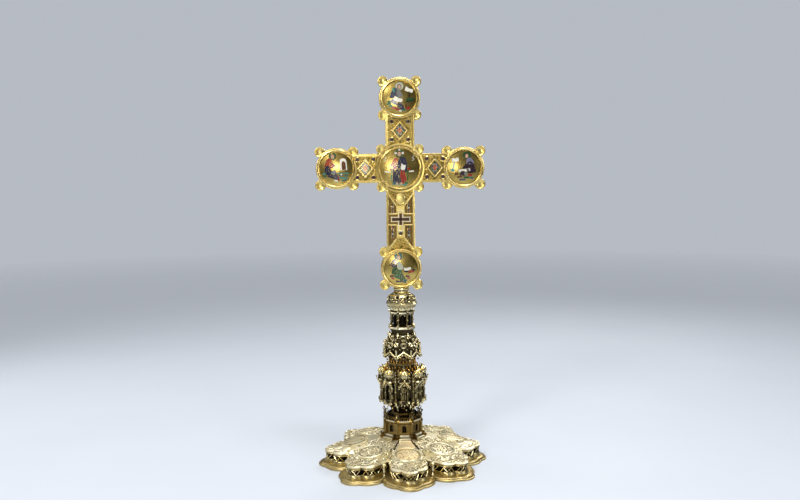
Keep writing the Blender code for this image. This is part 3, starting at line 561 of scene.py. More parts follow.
def makeCrossBody():
    f = crossForm
    half, face, floor = f["half"], f["face"], f["floor"]
    discs = fields()
    side, top, bottom = discs[3][1], discs[0][2], discs[4][2]
    here = onCross(0, 0)
    bm = bmesh.new()
    block(bm, (-half, -half, -face), (half, top, face), here, 0.5)
    block(bm, (-side, -half, 0.04 - face), (side, half, face - 0.03), here, 0.5)
    block(bm, (0.05 - half, bottom, 0.03 - face), (half - 0.05, half - 1.0, floor), here, 0.5)
    inner, outer, lip = f["panelInner"], f["panelOuter"], half - 0.08
    upper = relicAt + f["bandHalf"] + f["ridge"]
    lower = relicAt - f["bandHalf"] - f["ridge"]
    for x in (-1, 1):
        block(bm, (x * lip, bottom + 0.1, -1), (x * outer, 0, face - 0.02), here, 0.4)
        for y in (relicAt + f["bandHalf"], lower):
            block(bm, (x * inner, y, 1), (x * outer, y + f["ridge"], face), here, 0.2)
    for edge in ([(outer, -half), (outer, -f["panelTop"]), (inner, -f["panelTopInner"]), (inner, upper)],
                 [(inner, lower), (inner, -f["panelBottomInner"]), (outer, -f["panelBottom"]),
                  (outer, bottom)]):
        plate(bm, [(-x, y) for x, y in edge] + edge[::-1], 1, face, here)
    for name, x, y, radius in discs:
        proud = f["fieldFace"]
        profile = [(0, -proud), (radius - 1.4, -proud), (radius - 0.3, -proud + 0.5), (radius, -proud + 1.4),
                   (radius, proud - 1.4), (radius - 0.3, proud - 0.5), (radius - 1.2, proud), (0, proud)]
        spun(bm, profile, 72, onCross(x, y))
        if name == "centre":
            wide = radius + f["collar"]
            collar = [(radius - 3, -face - 0.12), (wide - 0.5, -face - 0.12), (wide, -face + 0.4),
                      (wide, face + 0.1), (wide - 0.5, face + 0.7), (wide - 1.1, face + 0.5),
                      (radius + 1.0, face + 0.4), (radius + 0.6, face - 1.2), (radius - 3, face - 1.2)]
            spun(bm, collar, 72, onCross(x, y), closed=True)
        reach = radius + (f["crossingEarOut"] if name == "centre" else f["earOut"])
        ear = f["earRadius"]
        dish = [(0, -5.0), (ear - 0.5, -5.0), (ear, -4.5), (ear, 4.7), (ear - 0.3, 5.15), (ear - 0.9, 5.25),
                (ear - 1.35, 4.9), (ear - 1.5, 3.3), (ear - 1.9, 3.0), (0, 3.0)]
        for k in range(4):
            turn = math.pi / 4 + k * quarter
            spun(bm, dish, 28, onCross(x + reach * math.cos(turn), y + reach * math.sin(turn)))
    finishPiece(bm, "crossBody", "crossGold", ["cross_body"])
    return discs


def makeCrossEdging(discs):
    # beaded wires round the arms, the fields, the lozenges and the panels
    f = crossForm
    side, top, bottom = discs[3][1], discs[0][2], discs[4][2]
    outer, second = f["half"] - 0.7, f["half"] - 2.9
    front = f["face"] + 0.1
    here = onCross(0, 0)
    beads, wires = [], bmesh.new()
    reach = discs[0][3] * 0.7
    for inset, size, pitch in ((outer, 0.72, 1.42), (second, 0.46, 1.05)):
        runs = []
        for x in (-inset, inset):
            runs += [((x, inset), (x, top - reach)), ((x, -inset), (x, bottom + reach)),
                     ((inset, x), (side - reach, x)), ((-inset, x), (-side + reach, x))]
        for start, end in runs:
            beads += beadLine((*start, front), (*end, front), size, pitch, here)
            if inset == outer:
                rod(wires, (*start, -front), (*end, -front), 0.6, place=here)
    for _, x, y, radius in discs:
        beads += beadRing(radius - 0.75, 0.45, 1.1, onCross(x, y), f["fieldFace"])
        hoop(wires, radius - 2.2, 0.6, onCross(x, y, -f["fieldFace"]), steps=56)
        hoop(wires, radius * 0.62, 0.4, onCross(x, y, -f["fieldFace"]), steps=48)
    for x, y, w, h in lozenges():
        for grow, size, pitch, height in ((1.0, 0.4, 0.95, 0.15), (-0.75, 0.0, 0.0, 1.35)):
            ends = [(x + w + grow, y), (x, y + h + grow * 1.15), (x - w - grow, y), (x, y - h - grow * 1.15)]
            ends.append(ends[0])
            for a, b in zip(ends, ends[1:]):
                a, b = (*a, f["face"] + height), (*b, f["face"] + height)
                if size:
                    beads += beadLine(a, b, size, pitch, here)
                else:
                    rod(wires, a, b, 0.55, place=here)
    for outline in panels():
        slant = (outline[0], outline[3])
        wall = (outline[3], outline[2])
        shift = Vector((0, 1.7 if outline[0][1] > relicAt else -1.7, 0))
        for (a, b), shifts in ((slant, (Vector(), shift)), (wall, (Vector(),))):
            for moved in shifts:
                rod(wires, Vector((*a, front)) + moved, Vector((*b, front)) + moved, 0.45, place=here)
    for y in (relicAt + f["bandHalf"] + 0.5, relicAt - f["bandHalf"] - 0.5):
        for x in (-1, 1):
            rod(wires, (x * 4.6, y, front), (x * (f["panelOuter"] - 1.6), y, front), 0.6, place=here)
    stamp(wires, "grain", beads)
    finishPiece(wires, "crossEdging", "bezelGold")


def makeFiligree(discs):
    # sheets darkened with painted shade, and on them wire scrolls with grains between
    f = crossForm
    clear = {"field": 0.9, "crossing": 4.2, "stone": 3.5, "lozengeWide": 2.4, "lozengeTall": 2.6,
             "bossWide": 6.0, "bossTall": 6.8, "edge": 4.2, "panelEdge": 1.2, "strip": (8.2, 11.6),
             "window": (14.2, 7.4), "spine": 4.2, "below": 15, "over": 13}
    step, edge = f["scrollPitch"], f["half"] - clear["edge"]
    random.seed(7)
    side, top, bottom = discs[3][1], discs[0][2], discs[4][2]
    here = onCross(0, 0)
    places, sunk, dots = [], [], []
    gems = stones() + [(0, -f["holeBelow"])]
    diamonds = lozenges()
    for i in range(int(-side / step), int(side / step) + 1):
        for j in range(int(bottom / step), int(top / step) + 1):
            x, y = i * step, j * step
            if abs(x) > edge and abs(y) > edge:
                continue
            if any(math.hypot(x - cx, y - cy) < radius + clear["crossing" if name == "centre" else "field"]
                   for name, cx, cy, radius in discs):
                continue
            if any(math.hypot(x - gx, y - gy) < clear["stone"] for gx, gy in gems):
                continue
            if any(abs(x - lx) / (w + clear["lozengeWide"]) + abs(y - ly) / (h + clear["lozengeTall"]) < 1
                   for lx, ly, w, h in diamonds):
                continue
            if math.hypot(x / clear["bossWide"], (y + f["bossBelow"]) / clear["bossTall"]) < 1:
                continue
            turn = twist(quarter * ((i * 3 + j) % 4) + random.uniform(-0.3, 0.3))
            size = f["scrollSize"] * random.uniform(0.9, 1.1)
            if inPanel(x, y, 0.2):
                if not inPanel(x, y, -clear["panelEdge"]) or clear["strip"][0] < abs(x) < clear["strip"][1]:
                    continue
                if abs(x) < clear["window"][0] and abs(y - relicAt) < clear["window"][1]:
                    continue
                sunk.append(onCross(x, y, f["floor"] + 0.05) @ turn @ sized(size * 0.9))
            elif y < relicAt - clear["below"] or y > relicAt + clear["over"] or abs(x) > clear["spine"]:
                places.append(onCross(x, y, f["face"] + 0.1) @ turn @ sized(size))
                dots.append(onCross(x + step / 2, y + step / 2, f["face"] + 0.15) @ sized(0.42))
    bm = bmesh.new()
    stamp(bm, "scroll", places)
    stamp(bm, "grain", dots)
    finishPiece(bm, "armFiligree", "crossGold")
    bm = bmesh.new()
    inner = f["half"] - 3.3
    sheets = [((-side, -inner), (side, inner)), ((-inner, inner), (inner, top)),
              ((-inner, -f["panelTop"]), (inner, -inner)), ((-inner, bottom), (inner, -f["panelBottom"]))]
    for lows, highs in sheets:
        block(bm, (*lows, f["face"] - 0.3), (*highs, f["face"] + 0.07), here, 0)
    for outline in panels():
        outer, sharp = outline[0], outline[3]
        wedge = [outer, sharp, (0, sharp[1]), (0, outer[1])]
        plate(bm, wedge, f["face"] - 0.3, f["face"] + 0.06, here, 0)
    # the ground sheets are painted in shade
    finishPiece(bm, "shadedFiligreeGround", "shadedFieldGold")
    bm = bmesh.new()
    for outline in panels():
        plate(bm, outline, f["floor"] - 0.4, f["floor"] + 0.06, here, 0)
    band = f["bandHalf"]
    for x in (-1, 1):
        block(bm, (x * 3.4, relicAt - band, f["floor"] - 0.4),
              (x * 15.1, relicAt + band, f["floor"] + 0.08), here, 0)
    stamp(bm, "scroll", sunk)
    # the sunk panels and their scrolls are painted in shade
    finishPiece(bm, "shadedPanelFiligree", "shadedPanelGold")


def makeSettings():
    # collets for the stones, the oval boss, the relic's window and the dark stone below it
    f = crossForm
    stone = {"radius": 2.45, "collet": 3.15, "rise": 0.95}
    r, c = stone["radius"], stone["collet"]
    seats = stones() + [(0, -f["holeBelow"])]
    bm = bmesh.new()
    for x, y in seats:
        collet = [(r, -1.0), (c + 0.2, -1.0), (c, 0.35), (c - 0.3, 0.55), (r + 0.08, 0.3)]
        spun(bm, collet, 20, onCross(x, y, f["face"]), closed=True)
    hoop(bm, 5.6, 0.4, onCross(0, -f["bossBelow"], f["face"] + 0.15) @ sized(1.0, 1.12, 1.0), steps=36)
    finishPiece(bm, "collets", "bezelGold")
    for name, spots, nodes in (("garnets", seats[:-1], [f"gem_{k:02d}" for k in range(1, 13)]),
                               ("smallGarnet", seats[-1:], [])):
        bm = bmesh.new()
        for x, y in spots:
            dome = [(0, stone["rise"]), (0.5 * r, 0.85 * stone["rise"]), (0.84 * r, 0.45 * stone["rise"]),
                    (r, -0.3), (0, -0.4)]
            spun(bm, dome, 16, onCross(x, y, f["face"]))
        finishPiece(bm, name, "garnet", nodes)
    window = {"bar": 2.5, "wire": 0.9, "side": 11.2, "up": 10.2, "down": 13.8}
    b, s, up, down = window["bar"], window["side"], window["up"], window["down"]
    outline = [(b, up), (b, b), (s, b), (s, -b), (b, -b), (b, -down), (-b, -down), (-b, -b), (-s, -b),
               (-s, b), (-b, b), (-b, up)]
    bm = bmesh.new()
    wireAlong(bm, [(x, y, f["face"] + 0.35) for x, y in outline], window["wire"], closed=True,
              place=onCross(0, relicAt))
    for x, y in outline:
        bmesh.ops.create_uvsphere(bm, u_segments=10, v_segments=6, radius=window["wire"] + 0.12,
                                  matrix=onCross(x, relicAt + y, f["face"] + 0.35))
    for x, y in ((0, up + 2.1), (0, -down - 1.0)):
        block(bm, (x - 1.7, relicAt + y - 0.5, 2), (x + 1.7, relicAt + y + 0.5, f["face"] + 0.5),
              onCross(0, 0), 0.3)
    boss = bmesh.new()
    dome = [(0, 0.6), (2.6, 0.58), (4.2, 0.5), (5.0, 0.25), (5.3, -0.6), (0, -0.6)]
    spun(boss, dome, 36, onCross(0, -f["bossBelow"], f["face"]) @ sized(1.0, 1.12, 1.0))
    finishPiece(boss, "ovalBoss", "crossGold")
    finishPiece(bm, "windowFrame", "paleGilt", ["relic_frame"])
    bm = bmesh.new()
    for across, under, over in ((s - 0.5, -1.75, 1.75), (1.75, 0.5 - down, up - 0.5)):
        block(bm, (-across, under, 2.6), (across, over, f["face"] - 0.35), onCross(0, relicAt), 0.3)
    finishPiece(bm, "relicSlip", "wood", ["relic_wood"])
    for name in ("top", "left", "right"):
        dress("lozenge_" + name, "bezelGold")


# The enamels

colours = {
    "white": (0.72, 0.70, 0.60), "pale": (0.42, 0.45, 0.36), "navy": (0.006, 0.011, 0.045),
    "slate": (0.030, 0.042, 0.085), "red": (0.30, 0.018, 0.012), "rose": (0.42, 0.10, 0.085),
    "green": (0.008, 0.065, 0.022), "leaf": (0.03, 0.12, 0.04), "teal": (0.008, 0.10, 0.11),
    "turquoise": (0.03, 0.22, 0.20), "lavender": (0.17, 0.17, 0.26), "violet": (0.016, 0.007, 0.024),
    "brown": (0.10, 0.035, 0.010), "skin": (0.58, 0.38, 0.26), "black": (0.006, 0.006, 0.009),
    "grey": (0.17, 0.185, 0.19), "gold": (0.80, 0.55, 0.17),
}

cells = {
    "round": [(math.cos(full * k / 14), math.sin(full * k / 14)) for k in range(14)],
    "block": [(-1, -1), (1, -1), (1, 1), (-1, 1)],
    "diamond": [(1, 0), (0, 1), (-1, 0), (0, -1)],
    "robe": [(-1, -0.9), (-0.3, -1), (0.5, -1), (1, -0.8), (0.85, -0.1), (0.5, 0.7), (0.1, 1), (-0.5, 0.9),
             (-0.8, 0.4)],
    "arch": [(-1, -1), (1, -1), (1, 0.4), (0.7, 0.85), (0, 1), (-0.7, 0.85), (-1, 0.4)],
    "book": [(-1, -0.8), (0, -1), (1, -0.7), (1, 0.8), (0, 0.6), (-1, 1)],
}

# cell, colour, place, half width and height as shares of the plate's radius, and turn in degrees
pictures = {
    "top": [
        ("round", "pale", 0.0, 0.66, 0.24, 0.24, 0), ("robe", "slate", -0.25, 0.24, 0.27, 0.33, -14),
        ("robe", "grey", 0.0, 0.24, 0.15, 0.24, 12), ("robe", "navy", -0.22, -0.26, 0.36, 0.17, -24),
        ("robe", "navy", 0.05, -0.47, 0.21, 0.25, 6), ("round", "slate", 0.06, -0.44, 0.10, 0.15, 0),
        ("book", "white", -0.07, -0.12, 0.25, 0.13, -18),
            ("block", "turquoise", -0.34, 0.43, 0.05, 0.13, 20),
        ("book", "white", 0.57, 0.44, 0.24, 0.14, -20), ("block", "black", 0.58, 0.16, 0.035, 0.17, 4),
        ("robe", "green", 0.63, -0.12, 0.28, 0.08, 14), ("block", "black", 0.66, -0.22, 0.2, 0.035, 12),
        ("block", "red", -0.14, -0.68, 0.15, 0.055, -24), ("block", "brown", 0.40, -0.52, 0.07, 0.13, 10),
        ("block", "red", 0.52, -0.62, 0.12, 0.06, 24), ("robe", "leaf", -0.62, -0.30, 0.12, 0.14, 0),
        ("block", "turquoise", -0.50, -0.50, 0.10, 0.05, -20),
            ("block", "rose", -0.36, -0.60, 0.08, 0.07, 0),
        ("round", "white", 0.05, -0.78, 0.09, 0.05, 0), ("block", "teal", 0.24, -0.72, 0.09, 0.05, 10),
    ],
    "left": [
        ("round", "green", -0.22, 0.74, 0.23, 0.23, 0), ("robe", "red", -0.42, 0.33, 0.23, 0.28, -10),
        ("robe", "red", -0.26, 0.22, 0.16, 0.18, 30), ("robe", "navy", -0.50, -0.10, 0.22, 0.28, 6),
        ("robe", "navy", -0.22, -0.36, 0.24, 0.22, -20), ("round", "grey", -0.13, -0.24, 0.15, 0.13, 0),
        ("robe", "slate", 0.0, -0.46, 0.14, 0.20, 0), ("block", "red", 0.14, -0.56, 0.06, 0.17, 0),
        ("arch", "white", 0.42, 0.26, 0.21, 0.36, 4), ("arch", "brown", 0.45, 0.18, 0.11, 0.25, 4),
        ("block", "turquoise", 0.42, -0.28, 0.30, 0.05, 0), ("block", "teal", 0.40, -0.42, 0.26, 0.04, 0),
        ("block", "turquoise", 0.42, -0.56, 0.24, 0.05, 0), ("block", "white", 0.30, -0.35, 0.04, 0.05, 0),
        ("block", "teal", 0.46, -0.70, 0.16, 0.04, 8), ("block", "turquoise", -0.72, -0.30, 0.09, 0.05, 10),
        ("round", "white", -0.02, -0.72, 0.12, 0.05, -10), ("block", "leaf", -0.68, -0.45, 0.10, 0.05, -20),
    ],
    "centre": [
        ("round", "leaf", -0.04, 0.76, 0.22, 0.23, 0), ("block", "white", -0.04, 0.94, 0.05, 0.05, 0),
        ("block", "white", -0.22, 0.76, 0.05, 0.05, 0), ("block", "white", 0.14, 0.76, 0.05, 0.05, 0),
        ("robe", "navy", 0.12, 0.18, 0.30, 0.40, -8), ("robe", "red", -0.26, 0.28, 0.16, 0.26, -22),
        ("robe", "red", -0.28, 0.06, 0.11, 0.13, 10), ("robe", "navy", -0.14, -0.10, 0.34, 0.24, 34),
        ("robe", "navy", -0.22, -0.50, 0.18, 0.36, 0), ("robe", "red", 0.15, -0.42, 0.16, 0.38, 4),
        ("block", "navy", -0.02, -0.44, 0.05, 0.30, 4), ("book", "white", 0.16, 0.05, 0.11, 0.16, -12),
        ("block", "turquoise", -0.44, -0.34, 0.04, 0.28, 0), ("block", "green", 0.38, -0.38, 0.04, 0.26, 0),
        ("block", "white", -0.66, -0.20, 0.13, 0.035, -6), ("block", "white", 0.58, -0.17, 0.12, 0.035, 6),
        ("block", "red", -0.48, -0.06, 0.06, 0.05, 0), ("block", "red", 0.44, -0.04, 0.06, 0.05, 0),
        ("block", "turquoise", -0.05, -0.86, 0.38, 0.06, 0), ("block", "teal", -0.30, -0.76, 0.08, 0.06, 0),
        ("block", "leaf", 0.30, -0.76, 0.09, 0.06, 0), ("round", "skin", -0.16, -0.80, 0.05, 0.07, 0),
        ("round", "skin", 0.06, -0.80, 0.05, 0.07, 0),
    ],
    "right": [
        ("round", "green", 0.18, 0.72, 0.25, 0.22, 0), ("robe", "lavender", 0.34, 0.38, 0.24, 0.20, 8),
        ("robe", "violet", 0.38, 0.08, 0.27, 0.26, 6), ("robe", "violet", 0.20, 0.0, 0.24, 0.18, -30),
        ("robe", "violet", 0.46, -0.16, 0.25, 0.16, 10), ("book", "white", 0.02, -0.17, 0.34, 0.10, 8),
        ("robe", "violet", -0.06, -0.36, 0.20, 0.14, 0), ("round", "grey", 0.10, -0.38, 0.09, 0.09, 0),
        ("book", "white", -0.52, 0.45, 0.20, 0.14, 10), ("block", "teal", -0.60, 0.14, 0.05, 0.22, -8),
        ("robe", "turquoise", -0.68, -0.14, 0.13, 0.10, 0), ("block", "brown", -0.26, -0.56, 0.16, 0.06, 8),
        ("block", "green", 0.12, -0.60, 0.16, 0.06, 0), ("block", "red", 0.36, -0.46, 0.12, 0.06, -12),
        ("block", "teal", 0.44, -0.62, 0.12, 0.05, -14), ("block", "brown", -0.46, -0.38, 0.10, 0.07, 10),
        ("block", "slate", -0.10, -0.72, 0.18, 0.05, 0), ("round", "white", -0.24, -0.22, 0.10, 0.05, 24),
    ],
    "bottom": [
        ("round", "teal", -0.16, 0.74, 0.25, 0.24, 0), ("robe", "navy", -0.40, 0.34, 0.22, 0.26, -16),
        ("round", "white", -0.33, 0.38, 0.08, 0.10, 0), ("robe", "pale", -0.08, 0.20, 0.18, 0.26, 16),
        ("robe", "green", -0.34, -0.10, 0.24, 0.22, 0), ("robe", "leaf", -0.14, -0.32, 0.30, 0.28, -18),
        ("robe", "green", 0.06, -0.50, 0.18, 0.22, 10), ("book", "white", 0.38, 0.0, 0.21, 0.10, 10),
        ("block", "black", 0.30, -0.16, 0.14, 0.04, -8), ("robe", "red", 0.60, -0.16, 0.18, 0.08, 12),
        ("block", "violet", 0.74, -0.08, 0.07, 0.05, 0), ("block", "navy", -0.02, -0.78, 0.30, 0.06, -4),
        ("block", "teal", 0.24, -0.70, 0.12, 0.05, 12), ("block", "brown", -0.56, -0.44, 0.12, 0.07, 10),
        ("block", "red", -0.50, -0.58, 0.10, 0.05, -14), ("block", "brown", 0.38, -0.46, 0.12, 0.07, -14),
        ("block", "rose", 0.46, -0.58, 0.08, 0.05, 0), ("round", "brown", -0.66, 0.22, 0.07, 0.08, 0),
    ],
}

heads = {"top": (0.0, 0.64, 12), "left": (-0.20, 0.71, 12), "centre": (-0.04, 0.73, 0),
         "right": (0.16, 0.69, -12), "bottom": (-0.14, 0.71, 10)}


def cell(bm, layer, dome, radius, form, colour, x, y, w, h, turn, lift, grow=0.0):
    # one thin cell, standing a little proud of the domed plate
    cos, sin = math.cos(math.radians(turn)), math.sin(math.radians(turn))
    spots = []
    for px, py in cells[form]:
        dx, dy = px * (w * radius + grow), py * (h * radius + grow)
        spots.append((x * radius + dx * cos - dy * sin, y * radius + dx * sin + dy * cos))
    verts = [bm.verts.new((px, py, dome(px, py) + lift - 0.4)) for px, py in spots]
    base = bm.faces.new(verts)
    raised = bmesh.ops.extrude_face_region(bm, geom=[base], use_keep_orig=True)["geom"]
    top = [item for item in raised if isinstance(item, bmesh.types.BMVert)]
    bmesh.ops.translate(bm, verts=top, vec=(0, 0, 0.4))
    lid = [item for item in raised if isinstance(item, bmesh.types.BMFace)]
    crown = bmesh.ops.poke(bm, faces=lid)
    for vert in crown["verts"]:
        vert.co.z = max(vert.co.z, dome(vert.co.x, vert.co.y) + lift)
    if layer is not None:
        mine = set(verts) | set(top) | set(crown["verts"])
        for face in {f for v in mine for f in v.link_faces}:
            for loop in face.loops:
                loop[layer] = (*colours[colour], 1.0)


def drawPicture(name, radius, dome):
    # the coloured cells, and the gold edges round and across them
    tinted, golden = bmesh.new(), bmesh.new()
    layer = tinted.loops.layers.float_color.new("enamelColour")
    headX, headY, tilt = heads[name]
    rows = list(pictures[name])
    rows += [("round", "brown", headX, headY, 0.115, 0.145, tilt),
             ("round", "skin", headX, headY - 0.02, 0.085, 0.115, tilt)]
    for number, (form, colour, x, y, w, h, turn) in enumerate(rows):
        lift = 0.10 + 0.022 * number
        if colour != "skin":
            cell(golden, None, dome, radius, form, colour, x, y, w, h, turn, lift - 0.012, 0.26)
        cell(tinted, layer, dome, radius, form, colour, x, y, w, h, turn, lift)
        if form == "robe" and w > 0.13:
            for fold in (-0.35, 0.25):
                cell(golden, None, dome, radius, "block", "gold",
                     x + fold * w * math.cos(math.radians(turn)),
                     y + fold * w * math.sin(math.radians(turn)), 0.0075, h * 0.62, turn + 14 * fold,
                     lift + 0.03)
    top = 0.10 + 0.022 * len(rows)
    cos, sin = math.cos(math.radians(tilt)), math.sin(math.radians(tilt))
    for fx, fy, w, h in ((-0.034, 0.01, 0.014, 0.008), (0.034, 0.01, 0.014, 0.008),
                         (0, -0.018, 0.006, 0.022), (0, -0.062, 0.022, 0.006),
                         (-0.034, 0.032, 0.018, 0.005), (0.034, 0.032, 0.018, 0.005)):
        cell(tinted, layer, dome, radius, "block", "brown", headX + fx * cos - fy * sin,
             headY - 0.02 + fx * sin + fy * cos, w, h, tilt, top)
    if name == "centre":               # a small white zigzag on each side
        for x, sweep in ((-0.80, 1), (0.70, -1)):
            for k in range(4):
                cell(tinted, layer, dome, radius, "block", "white", x + sweep * 0.05 * (k % 2),
                     0.62 - 0.075 * k, 0.05, 0.012, 30 * sweep * (-1) ** k, 0.1)
    return tinted, golden


def makeEnamels(discs):
    for name, x, y, fieldRadius in discs:
        outer = fieldRadius - crossForm["crossingMargin" if name == "centre" else "margin"]
        inner = outer - (1.7 if name == "centre" else 3.0)
        base = crossForm["fieldFace"] + 0.3
        bm = bmesh.new()
        wall = outer - inner
        ring = [(outer, 0), (outer, 1.3), (outer - 0.23 * wall, 1.75), (outer - 0.25 * wall, 2.6),
                (outer - 0.4 * wall, 3.3), (outer - 0.6 * wall, 3.45), (inner + 0.17 * wall, 3.1),
                (inner + 0.04, 2.4), (inner, 0)]
        spun(bm, ring, 72, onCross(x, y, base), closed=True)
        beads = beadRing(outer - 0.15, 0.45, 1.15, onCross(x, y, base), 1.45)
        beads += beadRing(inner + 0.2 * wall, 0.32, 0.85, onCross(x, y, base), 3.1)
        stamp(bm, "grain", beads)
        finishPiece(bm, "rim_" + name, "bezelGold", ["bezel_" + name])

        radius = inner - 0.3
        bulge = 2.3

        def dome(px, py):
            return 1.3 + bulge * max(0.0, 1 - (px * px + py * py) / radius ** 2)

        tinted, golden = drawPicture(name, radius, dome)
        shares = [k / 8 for k in range(9)]
        spun(golden,
             [(share * radius, dome(share * radius, 0)) for share in shares] + [(radius, 0), (0, 0)], 64)
        for bm in (tinted, golden):
            bmesh.ops.transform(bm, matrix=onCross(x, y, base), verts=bm.verts[:])
        finishPiece(tinted, "picture_" + name, "enamel", sharp=60)
        finishPiece(golden, "plate_" + name, "ground", ["enamel_" + name], sharp=30)


def makeLozengeEnamels():
    order = ["slate", "grey", "teal", "green", "grey", "red", "rose", "slate", "green", "rose", "red",
             "grey", "teal", "slate", "lavender", "green"]
    for name in ("top", "left", "right"):
        lowest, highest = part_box("lozenge_enamel_" + name)
        spot = middle("lozenge_enamel_" + name)
        w, h = (highest.x - lowest.x) / 2 / mm, (highest.z - lowest.z) / 2 / mm
        place = onCross(spot.x, spot.z - crossing, -lowest.y / mm)
        base = (highest.y - lowest.y) / mm
        tinted, golden = bmesh.new(), bmesh.new()
        layer = tinted.loops.layers.float_color.new("enamelColour")
        plate(golden, [(w, 0), (0, h), (-w, 0), (0, -h)], 0.0, base, None, 0.1)
        for i in range(4):
            for j in range(4):
                x, y = (i - j) * w / 4, (i + j - 3) * h / 4
                cell(tinted, layer, lambda px, py: base, 1.0, "diamond", order[i * 4 + j], x, y, w / 4.7,
                     h / 4.7, 0, 0.12)
        for bm in (tinted, golden):
            bmesh.ops.transform(bm, matrix=place, verts=bm.verts[:])
        finishPiece(tinted, "chequer_" + name, "enamel", sharp=60)
        finishPiece(golden, "chequerPlate_" + name, "ground", ["lozenge_enamel_" + name])


def makeBeadStrips():
    order = ["violet", "lavender", "navy", "rose", "teal", "violet", "white", "navy"]
    for number in range(1, 5):
        lowest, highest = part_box(f"bead_strip_{number}")
        spot = middle(f"bead_strip_{number}")
        length, wide = (highest.z - lowest.z) / mm, (highest.x - lowest.x) / mm
        base = -highest.y / mm
        tinted = bmesh.new()
        layer = tinted.loops.layers.float_color.new("enamelColour")
        count = round(length / 1.5)
        for k in range(count):
            y = (k + 0.5) / count * length - length / 2
            cell(tinted, layer, lambda px, py: base + 1.0, 1.0, "round", order[(k + number) % 8], 0, y,
                 wide * 0.36, length / count * 0.44, 0, 0.12)
        bmesh.ops.transform(tinted, matrix=onCross(spot.x, spot.z - crossing), verts=tinted.verts[:])
        finishPiece(tinted, f"beads_{number}", "enamel", [f"bead_strip_{number}"],
                    sharp=60)
        golden = bmesh.new()
        for x in (-wide / 2 - 0.1, wide / 2 + 0.1):
            block(golden, (x - 0.2, -length / 2, base), (x + 0.2, length / 2, base + 1.3),
                  onCross(spot.x, spot.z - crossing), 0.1)
        finishPiece(golden, f"beadRails_{number}", "bezelGold")


discs = makeCrossBody()
makeCrossEdging(discs)
makeFiligree(discs)
makeSettings()
print("cross laid out")
makeEnamels(discs)
makeLozengeEnamels()
makeBeadStrips()
print("enamels set")


# The stem

def ball(radius, place):
    return place @ sized(radius)


def leafAt(bm, place, wide, long, thick):
    stamp(bm, "leaf", [place @ sized(wide, long, thick)])


def makeCollar():
    z, tall = low("cross_socket"), high("cross_socket") - low("cross_socket")
    form = {"radius": 9.7}
    r = form["radius"]
    bm = bmesh.new()
    spun(bm, [(0, z), (r - 1.0, z), (r - 0.2, z + 0.7), (r, z + 1.4), (r - 0.9, z + 2.2), (r - 0.9, z + 3.4),
              (r - 0.1, z + 3.9), (r, z + tall - 0.5), (r - 0.4, z + tall), (0, z + tall - 0.6)], 48)
    stamp(bm, "grain", beadRing(r - 0.75, 0.4, 1.1, Matrix(), z + 2.8))
    finishPiece(bm, "collar", "brightGilt", ["cross_socket"])


def makeCap():
    form = {"radius": 18.9, "oculus": 2.0}
    z, r = low("pierced_cap"), form["radius"]
    top = high("pierced_cap")
    bm, shadowFill = bmesh.new(), bmesh.new()
    spun(bm, [(0, z), (12.6, z), (13.8, z + 3.4), (r - 3.0, z + 4.6), (r - 1.4, z + 6.4), (r - 1.7, z + 7.0),
              (r - 0.3, z + 8.2), (r - 0.1, z + 9.8), (r - 0.9, z + 10.4), (r - 0.7, z + 11.4),
              (r - 1.8, z + 12.2), (r - 2.2, z + 14.2), (r - 3.4, z + 17.0), (r - 5.4, z + 19.4),
              (11.6, z + 20.6), (11.2, top), (0, top)], 64)
    for height, ring, wire in ((z + 9.0, r - 0.3, 0.6), (z + 10.9, r - 0.8, 0.55), (z + 12.6, r - 1.6, 0.55),
                               (z + 7.0, r - 1.5, 0.5), (top - 0.8, 11.4, 0.6)):
        hoop(bm, ring, wire, shift(0, 0, height), steps=56)
    # the near-black grooves between the mouldings, the oculi and the hollows under the arches are painted
    # shadow
    hoop(shadowFill, r - 1.25, 0.4, shift(0, 0, z + 11.8), steps=56)
    hoop(shadowFill, r - 1.1, 0.4, shift(0, 0, z + 9.95), steps=56)
    beads = beadRing(12.6, 0.45, 1.4, Matrix(), z + 20.3)
    lean = math.atan2(3.2, 5.2)
    for angle in corners():
        place = wallAt(r - 3.3, angle, z + 17.0, lean)
        hoop(bm, form["oculus"] + 0.55, 0.7, place @ shift(0, 0, 0.55), steps=20)
        coin(shadowFill, form["oculus"] + 0.2, 0.5, -0.8, 16, place)
        for turn in (0.6, math.pi - 0.6):
            beads.append(ball(0.7, place @ shift(3.5 * math.cos(turn), 3.5 * math.sin(turn), 0.3)))
    for angle in faces():
        place = wallAt(r - 2.6, angle, z + 14.6, 0.5)
        hoop(bm, 3.9, 0.62, place @ shift(0, -0.9, 0.5), sweep=math.pi, steps=12)
        hoop(shadowFill, 2.9, 0.5, place @ shift(0, -0.9, 0.25), sweep=math.pi, steps=12)
        beads += [ball(1.5, place @ shift(0, 0.2, 0.3)), ball(0.8, place @ shift(0, 4.4, 0.4))]
        side = wallAt(r - 2.0, angle + math.pi / 8, z + 13.8, 0.4)
        hoop(bm, 1.7, 0.5, side @ shift(0, -0.3, 0.3), sweep=math.pi, start=math.pi, steps=9)
        coin(shadowFill, 1.1, 0.45, -0.6, 12, side)
    lobes = [outAt(r - 2.6, full * k / 28, z + 5.4) @ sized(1.6, 1.3, 1.7) for k in range(28)]
    stamp(bm, "grain", beads + lobes)
    finishPiece(bm, "capDome", "brightGilt", ["pierced_cap"])
    finishPiece(shadowFill, "capOculusShadows", "paintedShadowGilt")


